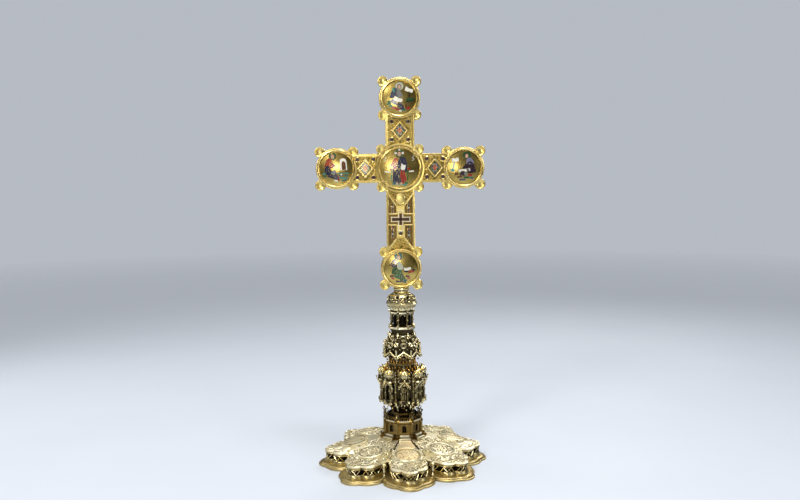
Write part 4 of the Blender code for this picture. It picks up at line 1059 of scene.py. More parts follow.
def makeLantern():
    form = {"ledge": 16.4, "columns": 13.4, "core": 10.2}
    z, top = low("lantern"), high("lantern")
    # the lantern's core is dressed in painted shade
    dress("lantern", "shadedCoreGilt")
    bm, shadowFill, shaded, bars = [bmesh.new() for _ in range(4)]
    phase = stand["turn"] + math.pi / 8
    ledge = form["ledge"]
    for profile in ([(ledge - 2.4, z + 3.4), (ledge - 0.4, z + 4.3), (ledge + 0.4, z + 5.0),
                     (ledge + 0.5, z + 7.0), (ledge, z + 7.9), (ledge - 2.6, z + 8.9)],
                    [(ledge - 3.4, top - 2.6), (ledge - 1.5, top - 2.4), (ledge - 1.2, top - 1.6),
                     (ledge - 1.6, top - 0.8), (ledge - 3.4, top - 0.6)]):
        spun(bm, profile, 8, None, closed=True, phase=phase)
    r = 1.25
    foot, head = z + 8.6, top - 2.5
    mid = (foot + head) / 2
    column = [(0, foot), (1.6 * r, foot), (1.6 * r, foot + 0.9), (1.1 * r, foot + 1.5),
              (0.85 * r, foot + 2.2), (0.8 * r, mid - 1.4), (1.4 * r, mid - 0.6), (1.4 * r, mid + 0.6),
              (0.8 * r, mid + 1.4), (0.85 * r, head - 2.6), (1.2 * r, head - 1.8), (1.65 * r, head - 0.7),
              (1.65 * r, head), (0, head)]
    beads = []
    for angle in corners():
        spun(shaded, column, 10, outAt(form["columns"] + 0.3, angle, 0))
        beads.append(ball(0.95, outAt(form["columns"] + 1.7, angle, mid)))
        beads.append(ball(1.35, outAt(ledge - 0.4, angle, z + 9.0)))
        beads.append(ball(1.3, outAt(ledge - 0.6, angle, top + 0.2)))
        # the dark discs here and on each face are painted shadow in the niches
        coin(shadowFill, 1.9, 0.4, -0.3, 10, wallAt(form["core"] + 0.6, angle, mid) @ sized(1.0, 2.8, 1.0))
    for angle in faces():
        block(bars, (-4.3, -0.9, -0.5), (4.3, 0.9, 1.1), wallAt(flat(ledge) - 0.7, angle, top - 1.6, 0.35),
              0.35)
        block(bars, (-5.2, -1.2, -0.5), (5.2, 1.2, 0.9), wallAt(flat(ledge) + 0.1, angle, z + 6.1, 0.3), 0.3)
        place = wallAt(flat(form["columns"]) - 0.4, angle, head - 3.4)
        hoop(bm, 2.9, 0.45, place, sweep=math.pi, steps=10)
        coin(shadowFill, 3.4, 0.4, -0.3, 12,
             wallAt(flat(form["core"]) + 0.1, angle, mid) @ sized(1.0, 2.0, 1.0))
        rod(shaded, (0, -8.6, -2.2), (0, -1.0, -2.2), 0.34, place=place, sides=5)
        beads.append(ball(0.8, place @ shift(0, 3.0, 0.2)))
    stamp(bm, "grain", beads)
    finishPiece(bm, "lanternTrim", "brightGilt")
    finishPiece(shadowFill, "lanternNicheShadows", "paintedShadowGilt")
    finishPiece(shaded, "lanternColumns", "shadeGilt")
    finishPiece(bars, "lanternBars", "paleGilt")


def makeCrown():
    form = {"core": 15.6, "wide": 23.0, "neck": 13.4, "flare": 1.284, "roundel": 3.7, "tall": 39.0,
            "eaves": 23.0, "ridge": 5.0, "gable": 8.6}
    z = low("crown_gallery")
    top = z + form["tall"]
    wide, neck, core = form["wide"], form["neck"], form["core"]
    # the crown's core is dressed in painted shade
    dress("crown_gallery", "shadedCoreGilt")
    eaves, ridge = z + form["eaves"], top - form["ridge"]
    lip = flat(form["flare"] * neck)
    bm, shadowFill, warm, shaded = [bmesh.new() for _ in range(4)]
    beads = []
    rise, back = ridge - eaves, flat(wide) - lip
    lean = math.atan2(back, rise)

    def roundel(seat, r, petalCount):
        hoop(bm, r - 0.5, 0.7, seat @ shift(0, 0, 0.9), steps=18)
        hoop(bm, 0.52 * r, 0.4, seat @ shift(0, 0, 1.1), steps=12)
        spun(bm, [(0, 0.7), (r - 0.5, 0.7), (r - 0.4, -1.2), (0, -1.2)], 18, seat)
        # the dark disc and petal spots are painted shadow in the roundel's holes
        coin(shadowFill, 0.5 * r, 1.05, 0.4, 12, seat)
        for k in range(petalCount):
            turn = full * (k + 0.5) / petalCount
            spot = (0.78 * r * math.cos(turn), 0.78 * r * math.sin(turn), 0.75)
            coin(shadowFill, 0.16 * r, 0.2, -0.2, 6, seat @ Matrix.Translation(spot))

    for angle in faces():
        roundel(wallAt(flat(wide) - 0.16 * back, angle, eaves + 0.2 * rise, lean), form["roundel"], 6)
        slope = wallAt(flat(wide) - 0.72 * back, angle, eaves + 0.72 * rise, lean)
        stamp(bm, "leaf", [slope @ shift(0, -1.5, 0.2) @ twist(turn) @ sized(2.6, 5.0, 3.2)
                                   for turn in (-0.6, 0, 0.6)])
        block(bm, (-1.9, -0.8, -0.6), (1.9, 0.9, 1.2), wallAt(lip + 0.6, angle, ridge + 1.4, 0.5), 0.35)
        gable = wallAt(flat(wide) + 0.9, angle, z + 14.8)
        for x in (-1, 1):
            start, end = Vector((x * form["gable"], -3.0, -0.2)), Vector((0, 3.0, 0.5))
            rod(bm, start, end, 0.85, place=gable)
            # a painted shadow line beside each gable rod
            rod(shadowFill, start + Vector((0, -1.4, -0.5)), end + Vector((0, -1.5, -0.6)), 0.6, place=gable)
            rod(bm, start + Vector((0, -2.5, -0.9)), end + Vector((0, -2.6, -1.0)), 0.5, place=gable)
            beads += [ball(0.75, gable @ Matrix.Translation(start.lerp(end, s) + Vector((0, 1.0, 0.2))))
                      for s in (0.3, 0.62)]
        beads.append(ball(1.3, gable @ shift(0, 4.6, 0.5)))
        # a painted shadow under the gable
        hoop(shadowFill, 2.2, 0.9, gable @ shift(0, -1.4, -1.4), steps=12)
        for x in (-4.4, 4.4):
            beads.append(ball(1.0, wallAt(flat(wide) + 0.2, angle, eaves - 1.8) @ shift(x, 0, 0)))
            # the dark leaves under the eaves are painted shade
            leafAt(shadowFill, wallAt(flat(wide) - 0.1, angle, eaves - 4.4) @ shift(x, 0, 0), 3.0, 4.0, 1.2)
        # the warm hoops and leaves low on the core are painted half shade
        hoop(warm, 3.2, 0.55, wallAt(flat(core) + 0.8, angle, z + 6.0), sweep=math.pi, steps=10)
        stamp(warm, "leaf", [wallAt(flat(core) + 0.5, angle, z + 0.8) @ shift(x, 0, 0) @ sized(3.6, 6.5, 3.4)
                                     for x in (-4.0, 0, 4.0)])
        beads.append(ball(1.0, wallAt(flat(core) + 2.2, angle, z + 9.2)))
    for angle in corners():
        roundel(wallAt(wide - 1.1, angle, eaves + 0.3 * rise, lean), 2.7, 4)
        beads.append(ball(1.7, outAt(wide + 1.4, angle, z + 11.2)))
        beads.append(ball(1.5, outAt(wide + 0.6, angle, z + 19.6)))
        beads.append(ball(1.3, outAt(core + 5.0, angle, z + 7.0)))
        rod(bm, (0, 0, 0), (0, 0, 6.6), 0.7, 1.0, place=outAt(wide + 0.2, angle, z + 12.4))
        finial = [(0, -5.0), (1.4, -4.6), (0.9, -3.4), (2.0, -1.8), (2.1, -0.8), (1.2, 0.1), (1.1, 0.6),
                  (0.5, 1.3), (0, 1.7)]
        spun(bm, finial, 10, outAt(neck + 2.8, angle, top - 0.6))
    random.seed(31)
    for row in range(5):
        share = 0.02 + 0.22 * row
        for k in range(24):
            turn = full * (k + 0.5 * (row % 2)) / 24 + random.uniform(-0.05, 0.05)
            step = full / stand["sides"]
            reach = (flat(wide) - share * back) / math.cos(turn - step * round(turn / step))
            slope = wallAt(reach - 0.5, turn, eaves + share * rise, lean)
            leafPlace = slope @ twist(random.uniform(-0.8, 0.8))
            size = random.uniform(2.4, 3.6)
            leafAt(shaded if (k + row) % 3 else bm, leafPlace, size, size * 1.3, size)
    # the skirt's leaves alternate between painted half shade and painted shade
    for k in range(32):
        turn, drop = full * k / 32, (k % 2) * 3.4
        reach = core + 1.6 + (flat(wide) - core - 1.6) * (0.75 - drop / 9)
        leafPlace = wallAt(reach, turn, z + 15.4 - drop, -0.7) @ twist(math.pi)
        leafAt(warm if k % 2 else shaded, leafPlace, 3.4, 5.4, 3.2)
    spun(bm,
         [(neck + 0.4, top - 2.6), (neck + 1.4, top - 2.7), (neck + 1.6, top - 1.9),
          (neck + 0.4, top - 1.6)], 8, None,
         closed=True, phase=stand["turn"] + math.pi / 8)
    spun(shaded, [(core - 2, z + 0.2), (core + 0.8, z + 0.2), (core + 0.8, z + 1.6), (core - 2, z + 2.0)],
         48, None, closed=True)
    stamp(warm, "grain", beadRing(core + 1.0, 0.7, 2.2, Matrix(), z + 2.6))
    stamp(bm, "grain", beads)
    finishPiece(bm, "crownTrim", "brightGilt")
    finishPiece(shadowFill, "crownHoleShadows", "paintedShadowGilt")
    finishPiece(warm, "crownCore", "warmShadeGilt")
    finishPiece(shaded, "crownLeaves", "shadeGilt")


def makeKnop():
    form = {"core": 20.0, "ledge": 27.4, "canopy": 24.4, "dome": 6.3, "shade": 0.56, "floor": 19.3,
            "niche": 22.0, "tall": 59.8}
    z = low("tabernacle_knop")
    core, ledge, c = form["core"], form["ledge"], form["dome"]
    floor = z + form["floor"]
    head = floor + form["niche"]
    hood = z + form["tall"] - head
    # the knop's core is dressed in painted shade
    dress("tabernacle_knop", "shadedCoreGilt")
    bm, domes, shadowFill, figures, shaded = [bmesh.new() for _ in range(5)]
    beads = []
    shade = head + form["shade"] * hood
    canopy = [(0, shade), (0.86 * c, shade), (0.9 * c, shade + 0.6), (0.88 * c, shade + 1.4),
              (0.76 * c, shade + 2.9), (0.54 * c, shade + 4.1), (0.28 * c, shade + 4.9),
              (0.16 * c, shade + 5.3), (0.14 * c, shade + 5.9), (0, shade + 6.0)]
    band = [(0, head - 1.2), (c - 0.3, head - 1.2), (c + 0.3, head - 0.4), (c + 0.3, head + 0.6),
            (c - 0.5, head + 1.2), (0.76 * c, head + 4.0), (0.76 * c, shade - 1.6), (0.9 * c, shade - 0.9),
            (0.94 * c, shade - 0.2), (0, shade)]
    robe = [(0, 0), (3.2, 0), (3.0, 2.5), (2.4, 7.0), (2.6, 10.5), (2.9, 12.6), (2.2, 14.4), (0.9, 15.2),
            (0.8, 16.0), (0, 16.2)]
    for angle in faces():
        place = outAt(form["canopy"], angle, 0)
        spun(domes, canopy, 24, place)
        spun(bm, band, 16, place)
        beads.append(ball(1.25, outAt(form["canopy"], angle, shade + 6.8)))
        for k in range(8):
            turn = full * (k + 0.5) / 8
            side = place @ twist(turn)
            beads.append(ball(0.72, side @ shift(0.94 * c, 0, shade - 0.2)))
            beads.append(ball(0.6, side @ shift(c + 0.4, 0, head + 0.2)))
            rod(bm, (0.82 * c, 0, head + 1.4), (0.82 * c, 0, shade - 1.2), 0.5, place=side, sides=5)
            # dark discs on the canopies' sides are painted shadow in their openings
            coin(shadowFill, 0.95, 0.2, -0.3, 8,
                 place @ twist(full * k / 8) @ shift(0.78 * c, 0, head + 4.4)
                 @ Matrix.Rotation(quarter, 4, "Y") @ sized(1.9, 1.0, 1.0))
        gable = wallAt(flat(ledge) + 3.0, angle, head)
        for x in (-1, 1):
            start, end = Vector((x * 6.6, -5.6, -0.8)), Vector((0, 2.6, 3.6))
            rod(bm, start, end, 0.7, place=gable)
            # a painted shadow line beside each gable rod
            rod(shadowFill, start + Vector((-x * 0.9, -0.9, 0)), end + Vector((0, -1.7, -0.4)), 0.5, place=gable)
            crockets = [gable @ Matrix.Translation(start.lerp(end, s)) @ twist(-x * 0.9)
                        @ sized(1.8, 2.4, 1.8)
                        for s in (0.1, 0.34, 0.58, 0.82)]
            stamp(bm, "leaf", crockets)
            rod(shaded, (x * 3.9, -21.4, -1.4), (x * 3.9, -5.2, -1.4), 0.6, place=gable, sides=6)
            beads += [ball(1.1, gable @ shift(x * 6.8, -6.4, -0.6)),
                      ball(1.0, gable @ shift(x * 3.9, -12.6, -1.0)),
                      ball(0.9, gable @ shift(x * 3.9, -5.6, -0.8))]
        hoop(bm, 3.5, 0.55, gable @ shift(0, -5.4, -0.8), sweep=math.pi, steps=12)
        hoop(bm, 1.3, 0.4, gable @ shift(0, -1.4, 1.6), steps=10)
        beads.append(ball(1.2, gable @ shift(0, 4.0, 3.8)))
        # a dark oval behind each figure is painted shade in the niche
        coin(shadowFill, 3.4, 0.3, -0.3, 12,
             wallAt(flat(core) + 0.2, angle, floor + 11) @ sized(1.5, 3.0, 1.0))
        figurePlace = outAt(flat(core) + 2.3, angle, floor)
        spun(figures, robe, 12, figurePlace @ sized(1.0, 0.8, 1.0))
        part = bmesh.new()
        bmesh.ops.create_uvsphere(part, u_segments=12, v_segments=8, radius=1.75,
                                  matrix=shift(0, -0.2, 17.4) @ sized(0.86, 0.95, 1.12))
        weld(figures, part, figurePlace)
        rod(figures, (0, -1.7, 17.7), (0, -2.15, 17.1), 0.12, 0.26, place=figurePlace, sides=5)
        for x in (-1, 1):
            rod(figures, (x * 2.5, -0.4, 12.4), (x * 1.5, -2.6, 9.2), 0.9, 0.7, place=figurePlace)
            rod(figures, (x * 1.5, -2.6, 9.2), (0, -3.2, 10.2), 0.7, 0.5, place=figurePlace)
            rod(figures, (x * 1.1, -1.9, 0.4), (x * 0.9, -2.1, 8.0), 0.5, 0.3, place=figurePlace, sides=5)
        bracket = wallAt(flat(ledge) + 2.6, angle, floor - 0.4, -0.35)
        stamp(bm, "leaf", [bracket @ shift(1.9 * k, 0, 0) @ twist(math.pi + 0.32 * k)
                                   @ sized(4.4, 7.4 - 0.9 * abs(k), 5.2) for k in (-2, -1, 0, 1, 2)])
        beads += beadLine((-6.4, 0, 0), (6.4, 0, 0), 0.8, 1.85,
                          wallAt(flat(ledge) + 2.4, angle, floor - 0.2))
        drop = wallAt(flat(core) + 3.0, angle, floor - 4.0, -0.55)
        leafAt(domes, drop @ twist(math.pi), 6.4, 10.6, 5.4)
        for x in (-5.4, -2.8, 2.8, 5.4):
            under = wallAt(flat(core) + 4.2, angle, floor - 2.4, -0.5) @ shift(x, 0, 0)
            leafAt(bm, under @ twist(math.pi), 3.4, 6.2, 4.2)
        # the dark leaves low on the core are painted shade
        stamp(shadowFill, "leaf", [wallAt(13.4, angle + s, z + 10.6, -0.3) @ twist(math.pi) @ sized(4.6, 8.0, 4.0)
                                     for s in (-0.25, 0.25)])
    for angle in corners():
        post = [(0, floor - 1.4), (1.7, floor - 1.4), (1.7, floor + 0.8), (1.1, floor + 1.6),
                (0.95, floor + 9.2), (1.8, floor + 10.0), (1.8, floor + 11.2), (0.95, floor + 12.0),
                (0.95, head - 3.8), (1.7, head - 2.4), (1.7, head + 0.8), (1.0, head + 1.8),
                (0.9, head + 5.4), (1.5, head + 6.2), (0.5, head + 9.4), (0, head + 9.6)]
        spun(shaded, post, 8, outAt(ledge + 0.5, angle, 0))
        beads += [ball(1.35, outAt(ledge + 1.0, angle, floor + 10.6)),
                  ball(1.1, outAt(ledge + 0.9, angle, head + 6.0))]
        for rise, lean in ((1.0, 0.5), (5.0, 0.2), (9.0, 0.0), (12.6, -0.4)):
            stamp(bm, "leaf", [wallAt(ledge - 1.0, angle + turn, head + rise, lean) @ twist(-turn * 6)
                                       @ sized(3.0, 4.4, 3.4) for turn in (-0.1, 0.1)])
        beads += [ball(1.2, outAt(ledge + 0.5, angle, head + 10.0)),
                  ball(1.5, outAt(ledge + 1.0, angle, head + 2.6)),
                  ball(1.8, outAt(ledge + 0.3, angle, floor - 1.6))]
        for turn in (-0.13, 0.13):
            rod(bm, (0, 0, 0), (0, 0, 9.0), 0.5, 0.2, place=outAt(ledge - 1.6, angle + turn, head + 0.4),
                sides=5)
            beads.append(ball(0.8, outAt(ledge - 1.6, angle + turn, head + 9.4)))
        for height, spread, size in ((floor - 1.4, 6.0, 5.6), (floor - 7.0, 1.0, 4.6)):
            leafPlace = wallAt(core + spread, angle, height, -0.4) @ twist(math.pi)
            leafAt(bm, leafPlace, 0.8 * size, size * 1.2, size)
    warm = bmesh.new()
    # most leaves of the knop's upper band take the warm copy as painted half shade; every fourth stays
    # bright
    random.seed(32)
    for row in range(5):
        for k in range(24):
            turn = full * (k + 0.5 * (row % 2)) / 24 + random.uniform(-0.05, 0.05)
            height = head + 1.5 + row * 3.4
            leafPlace = wallAt(core + 0.9 - row * 0.55, turn, height, 0.2) @ twist(random.uniform(-0.7, 0.7))
            size = random.uniform(2.8, 4.0)
            leafAt(bm if (k + row) % 4 == 0 else warm, leafPlace, size, size * 1.35, size)
    # leaves under the ledge: two in three are painted in shade, the rest stay bright
    for row in range(3):
        for k in range(24):
            turn = full * (k + 0.5 * (row % 2)) / 24
            leafPlace = wallAt(core - 0.6 - row * 2.6, turn, floor - 3.4 - row * 4.6, -0.45) @ twist(math.pi)
            leafAt(bm if (k + row) % 3 == 0 else shadowFill, leafPlace, 3.4, 5.6, 3.6)
    stamp(bm, "grain", beads)
    finishPiece(bm, "knopTrim", "brightGilt")
    finishPiece(warm, "knopLeaves", "warmShadeGilt")
    finishPiece(shaded, "knopPosts", "shadeGilt")
    finishPiece(domes, "knopDomes", "domeGold")
    finishPiece(shadowFill, "knopNicheShadows", "paintedShadowGilt")
    # the figures take the darker copy of the gilt as painted half shade
    finishPiece(figures, "knopFigures", "halfShadeGilt")


def makeDrum():
    form = {"radius": 23.2, "sill": 8.2, "window": 5.2, "tall": 8.8}
    z, r = low("arcaded_drum"), form["radius"]
    # the drum's wall is dressed in painted shade
    dress("arcaded_drum", "shadedDrumGilt")
    bm, shadowFill, steps, beads = bmesh.new(), bmesh.new(), bmesh.new(), []
    half = form["window"] / 2
    sill, springing = z + form["sill"], form["tall"] - half
    for angle in faces():
        wall = wallAt(flat(r), angle, sill)
        hoop(bm, half + 0.5, 0.42, wall @ shift(0, springing, 0.1), sweep=math.pi, steps=12)
        for x in (-1, 1):
            rod(bm, (x * (half + 0.5), -0.4, 0.1), (x * (half + 0.5), springing, 0.1), 0.42, place=wall)
            rod(bm, (x * (half + 2.2), 0.6, 0.1), (x * (half + 2.2), 9.4, 0.1), 0.3, place=wall)
        rod(bm, (0, 0, -1.2), (0, springing + 1.5, -1.2), 0.24, place=wall, sides=5)
        # the window openings are dark plates: painted shadow
        plate(shadowFill, [(-half, 0), (half, 0), (half, springing), (0, springing + half), (-half, springing)],
              -2.1, -1.8, wall, 0)
        block(steps, (-6.2, 13.4, -0.6), (6.2, 14.9, 2.5), wall, 0.35)
        fringe = wallAt(flat(r) + 1.7, angle, z + 22.2)
        for x in (-5.2, -2.6, 0, 2.6, 5.2):
            down = fringe @ shift(x, -0.9, 0) @ twist(math.pi)
            up = fringe @ shift(x, 0.4, -0.6)
            leafAt(bm, down, 2.0, 2.8, 1.8)
            # the upturned leaves of the fringe are painted in shade
            leafAt(shadowFill, up, 3.2, 4.6, 2.6)
        for x in (-5.4, -1.8, 1.8, 5.4):
            roof = wallAt(flat(r) - 2.0, angle, z + 24.2, 0.9) @ shift(x * 0.85, 0, 0.2)
            # the roof leaves are painted in shade
            leafAt(shadowFill, roof, 4.0, 6.6, 4.0)
            beads.append(ball(0.7, roof @ shift(1.6, 1.0, 1.4)))
        step = outAt(flat(1.07 * r), angle, z)
        block(steps, (-7.0, -6.5, 0.1), (7.0, -2.9, 3.1), step, 0.5)
        block(steps, (-5.6, -3.2, 2.8), (5.6, 0.6, 6.3), step, 0.5)
        for reach, rise in ((6.3, 1.6), (3.1, 4.6)):
            # a painted shadow line under each step
            rod(shadowFill, (-6.4, -reach - 0.1, rise), (6.4, -reach - 0.1, rise), 0.3, place=step)
    for angle in corners():
        spun(bm,
             [(0, z + 3.4), (2.3, z + 3.4), (2.3, z + 5.0), (1.6, z + 6.2), (1.4, z + 17.6),
              (2.0, z + 18.6), (2.0, z + 19.8),
                  (0, z + 20.2)], 8, outAt(r + 0.4, angle, 0))
        beads += [ball(1.6, outAt(r + 1.4, angle, z + 20.6)), ball(1.3, outAt(r + 1.2, angle, z + 33.4))]
        curl = [(0, 4.2, 21.0), (0, 0.6, 23.4), (0, -1.0, 26.4), (0, 0.2, 29.4), (0, 2.6, 31.2),
                (0, 4.4, 30.0)]
        wireAlong(bm, curl, 0.9, place=outAt(r, angle, z))
        for lift, lean in ((22.4, 0.9), (25.6, 0.2), (28.6, -0.4)):
            stamp(bm, "leaf",
                  [wallAt(r - 0.4, angle + turn, z + lift, lean) @ sized(3.0, 5.4, 3.0)
                   for turn in (-0.09, 0.09)])
    stamp(bm, "grain", beads)
    finishPiece(bm, "drumTrim", "shadeGilt")
    finishPiece(steps, "drumSteps", "paleGilt")
    finishPiece(shadowFill, "drumWindowShadows", "paintedShadowGilt")


makeCollar()
makeCap()
makeLantern()
makeCrown()
makeKnop()
makeDrum()
print("stem built")


# The foot

foot = {
    "tip": 104.8, "cusp": 97.5, "notch": 79.5, "cuspAngle": math.radians(8.5), "sideBulge": 5.0,
    "ledgeTip": 7.8, "ledgeCusp": 9.2, "ledgeNotch": 21.5,
    "wallBase": 4.3, "wallTop": 17.7, "wallBulge": 5.0, "wallCuspAngle": math.radians(6.3),
    "flank": 77.0, "flankAngle": math.radians(16.0), "flankSteps": 4, "tipSteps": 10, "sideSteps": 8,
    "shoulder": 3.0, "shoulderWidth": 9.0, "slopeWidth": 14.0, "slope": 0.18, "edgeRise": 4.4,
    "ringRadius": 43.0, "topRadius": 27.0, "top": 33.0,
    "medallion": 60.0, "medallionRadius": 16.3, "sideLobes": (2, 6),
}


def bow(start, end, bulge, steps):
    # points along an arc that stands out to the right of the way from start to end
    chord = end - start
    outward = Vector((chord.y, -chord.x)).normalized()
    radius = ((chord.length / 2) ** 2 + bulge ** 2) / (2 * bulge)
    centre = (start + end) / 2 - outward * (radius - bulge)
    sweep = 2 * math.asin(min(1.0, chord.length / 2 / radius))
    return [centre + Matrix.Rotation(sweep * k / steps, 2) @ (start - centre) for k in range(steps)]


def foils(tip, cusp, notch, bulge, cuspAngle, flank=None):
    # eight lobes of three foils, seen from above; with a flank, straight sides run in to the notches
    points = []
    bulgeTip = tip - cusp * math.cos(cuspAngle)

    def at(radius, angle):
        turn = stand["turn"] + angle
        return Vector((radius * math.sin(turn), -radius * math.cos(turn)))

    def straight(start, end):
        return [start.lerp(end, k / foot["flankSteps"]) for k in range(foot["flankSteps"])]

    for angle in faces():
        start, end = at(notch, angle - math.pi / 8), at(notch, angle + math.pi / 8)
        first, second = at(cusp, angle - cuspAngle), at(cusp, angle + cuspAngle)
        near, far = start, end
        if flank:
            near, far = at(flank, angle - foot["flankAngle"]), at(flank, angle + foot["flankAngle"])
            points += straight(start, near)
        points += bow(near, first, bulge, foot["sideSteps"])
        points += bow(first, second, bulgeTip, foot["tipSteps"])
        points += bow(second, far, bulge, foot["sideSteps"])
        if flank:
            points += straight(far, end)
    return points


def rimOutline():
    return foils(foot["tip"], foot["cusp"], foot["notch"], foot["sideBulge"], foot["cuspAngle"])


def wallOutline():
    return foils(foot["tip"] - foot["ledgeTip"], foot["cusp"] - foot["ledgeCusp"],
                 foot["notch"] - foot["ledgeNotch"], foot["wallBulge"], foot["wallCuspAngle"], foot["flank"])


def drawn(points, amount, height):
    # an outline drawn in towards the axis and set at a height
    return [(*(point * (1 - amount / point.length)), height) for point in points]


wallLine = wallOutline()
lineAngles = np.array([(math.atan2(p.x, -p.y) - stand["turn"]) % full for p in wallLine])
lineRadii = np.array([p.length for p in wallLine])
lineOrder = np.argsort(lineAngles)
lineAngles, lineRadii = lineAngles[lineOrder], lineRadii[lineOrder]


def edgeRadius(angle):
    return float(np.interp(angle % full, lineAngles, lineRadii, period=full))


def lobeHeight(distance):
    reach = foot["tip"] - foot["ledgeTip"]
    return foot["wallTop"] + foot["edgeRise"] - foot["shoulder"] + (reach - distance) * foot["slope"]


def alongLobe(angle, radius):
    step = full / stand["sides"]
    return radius * math.cos(angle - step * round(angle / step))


def topHeight(angle, radius):
    edge = edgeRadius(angle)
    shoulder, slope = edge - foot["shoulderWidth"], edge - foot["slopeWidth"]
    crest = foot["wallTop"] + foot["shoulder"]
    if radius > shoulder:
        share = (edge - radius) / foot["shoulderWidth"]
        return foot["wallTop"] + foot["shoulder"] * math.sin(quarter * max(0.0, share))
    if radius > slope:
        inner = lobeHeight(alongLobe(angle, slope))
        return crest + (inner - crest) * (shoulder - radius) / (shoulder - slope)
    if radius > foot["ringRadius"]:
        return lobeHeight(alongLobe(angle, radius))
    ring = lobeHeight(alongLobe(angle, foot["ringRadius"]))
    share = (foot["ringRadius"] - radius) / (foot["ringRadius"] - foot["topRadius"])
    return ring + (foot["top"] - ring) * min(1.0, share)


def topPoint(angle, radius, lift=0.0):
    turn = stand["turn"] + angle
    return Vector((radius * math.sin(turn), -radius * math.cos(turn), topHeight(angle, radius) + lift))


def topPlace(angle, radius, turn=0.0, lift=0.0):
    # local +Z off the foot's top, +Y outwards
    outward = topPoint(angle, radius + 0.6) - topPoint(angle, radius - 0.6)
    across = topPoint(angle + 0.01, radius) - topPoint(angle - 0.01, radius)
    up = outward.cross(across).normalized()
    outward.normalize()
    side = outward.cross(up).normalized()
    frameTurn = Matrix((side, outward, up)).transposed().to_4x4()
    return Matrix.Translation(topPoint(angle, radius, lift)) @ frameTurn @ twist(turn)


def makeFootRim():
    bm = bmesh.new()
    outline = rimOutline()
    rings = [drawn(outline, 0.0, 0.0), drawn(outline, -0.1, 0.8), drawn(outline, 0.3, 1.5),
             drawn(outline, 1.1, 1.7), drawn(outline, 2.0, 2.3), drawn(outline, 3.2, 3.4),
             drawn(outline, 4.6, 3.9), drawn(outline, 6.4, 4.2)]
    skin(bm, rings)
    wireAlong(bm, drawn(outline, 2.4, 2.9), 0.42, closed=True)
    finishPiece(bm, "footRim", "flangeGilt", ["foot_flange"])


def makeGalleryWall():
    line = wallLine
    base, top = foot["wallBase"], foot["wallTop"]
    wall, trim, strokes = bmesh.new(), bmesh.new(), bmesh.new()
    lower, upper = base + 4.1, top - 3.2
    skin(wall,
         [drawn(line, 0.9, base), drawn(line, 1.9, lower), drawn(line, 1.9, upper), drawn(line, 0.9, top)])
    skin(trim, [drawn(line, 0.1, base), drawn(line, -0.3, base + 0.9), drawn(line, -0.1, base + 2.0),
                drawn(line, 0.7, base + 3.2), drawn(line, 1.6, lower), drawn(line, 2.4, lower)],
         bottom=False, top=False)
    skin(trim, [drawn(line, 2.4, upper), drawn(line, 1.3, upper + 0.1), drawn(line, 0.7, upper + 0.9),
                drawn(line, 0.9, upper + 1.6), drawn(line, 0.3, top - 0.7), drawn(line, 0.2, top)],
         bottom=False, top=False)
    for inset, height, wire in ((0.7, lower - 0.7, 0.4), (0.8, upper + 0.7, 0.45)):
        wireAlong(trim, drawn(line, inset, height), wire, closed=True)
    flank, side, tip = (foot["flankSteps"], 3), (foot["sideSteps"], 4), (foot["tipSteps"], 5)
    start = 0
    for count, peaks in [flank, side, tip, side, flank] * stand["sides"]:
        for way in (0, 1):
            zigzag = []
            for k in range(peaks + 1):
                spot = start + count * (0.08 + 0.84 * k / peaks)
                first = line[int(spot) % len(line)]
                second = line[(int(spot) + 1) % len(line)]
                point = first.lerp(second, spot - int(spot))
                point = point * (1 - 1.35 / point.length)
                zigzag.append((point.x, point.y, upper - 0.3 if (k + way) % 2 else lower + 0.3))
            wireAlong(strokes, zigzag[1:-1] if way else zigzag, 0.34 if way else 0.62)
        start += count
    # the recessed wall between the mouldings is painted in shade
    finishPiece(wall, "galleryWallShade", "paintedShadowGilt")
    # the mouldings take the darker copy of the gilt as painted half shade
    finishPiece(trim, "galleryMouldings", "halfShadeGilt")
    finishPiece(strokes, "galleryTracery", "brightGilt")


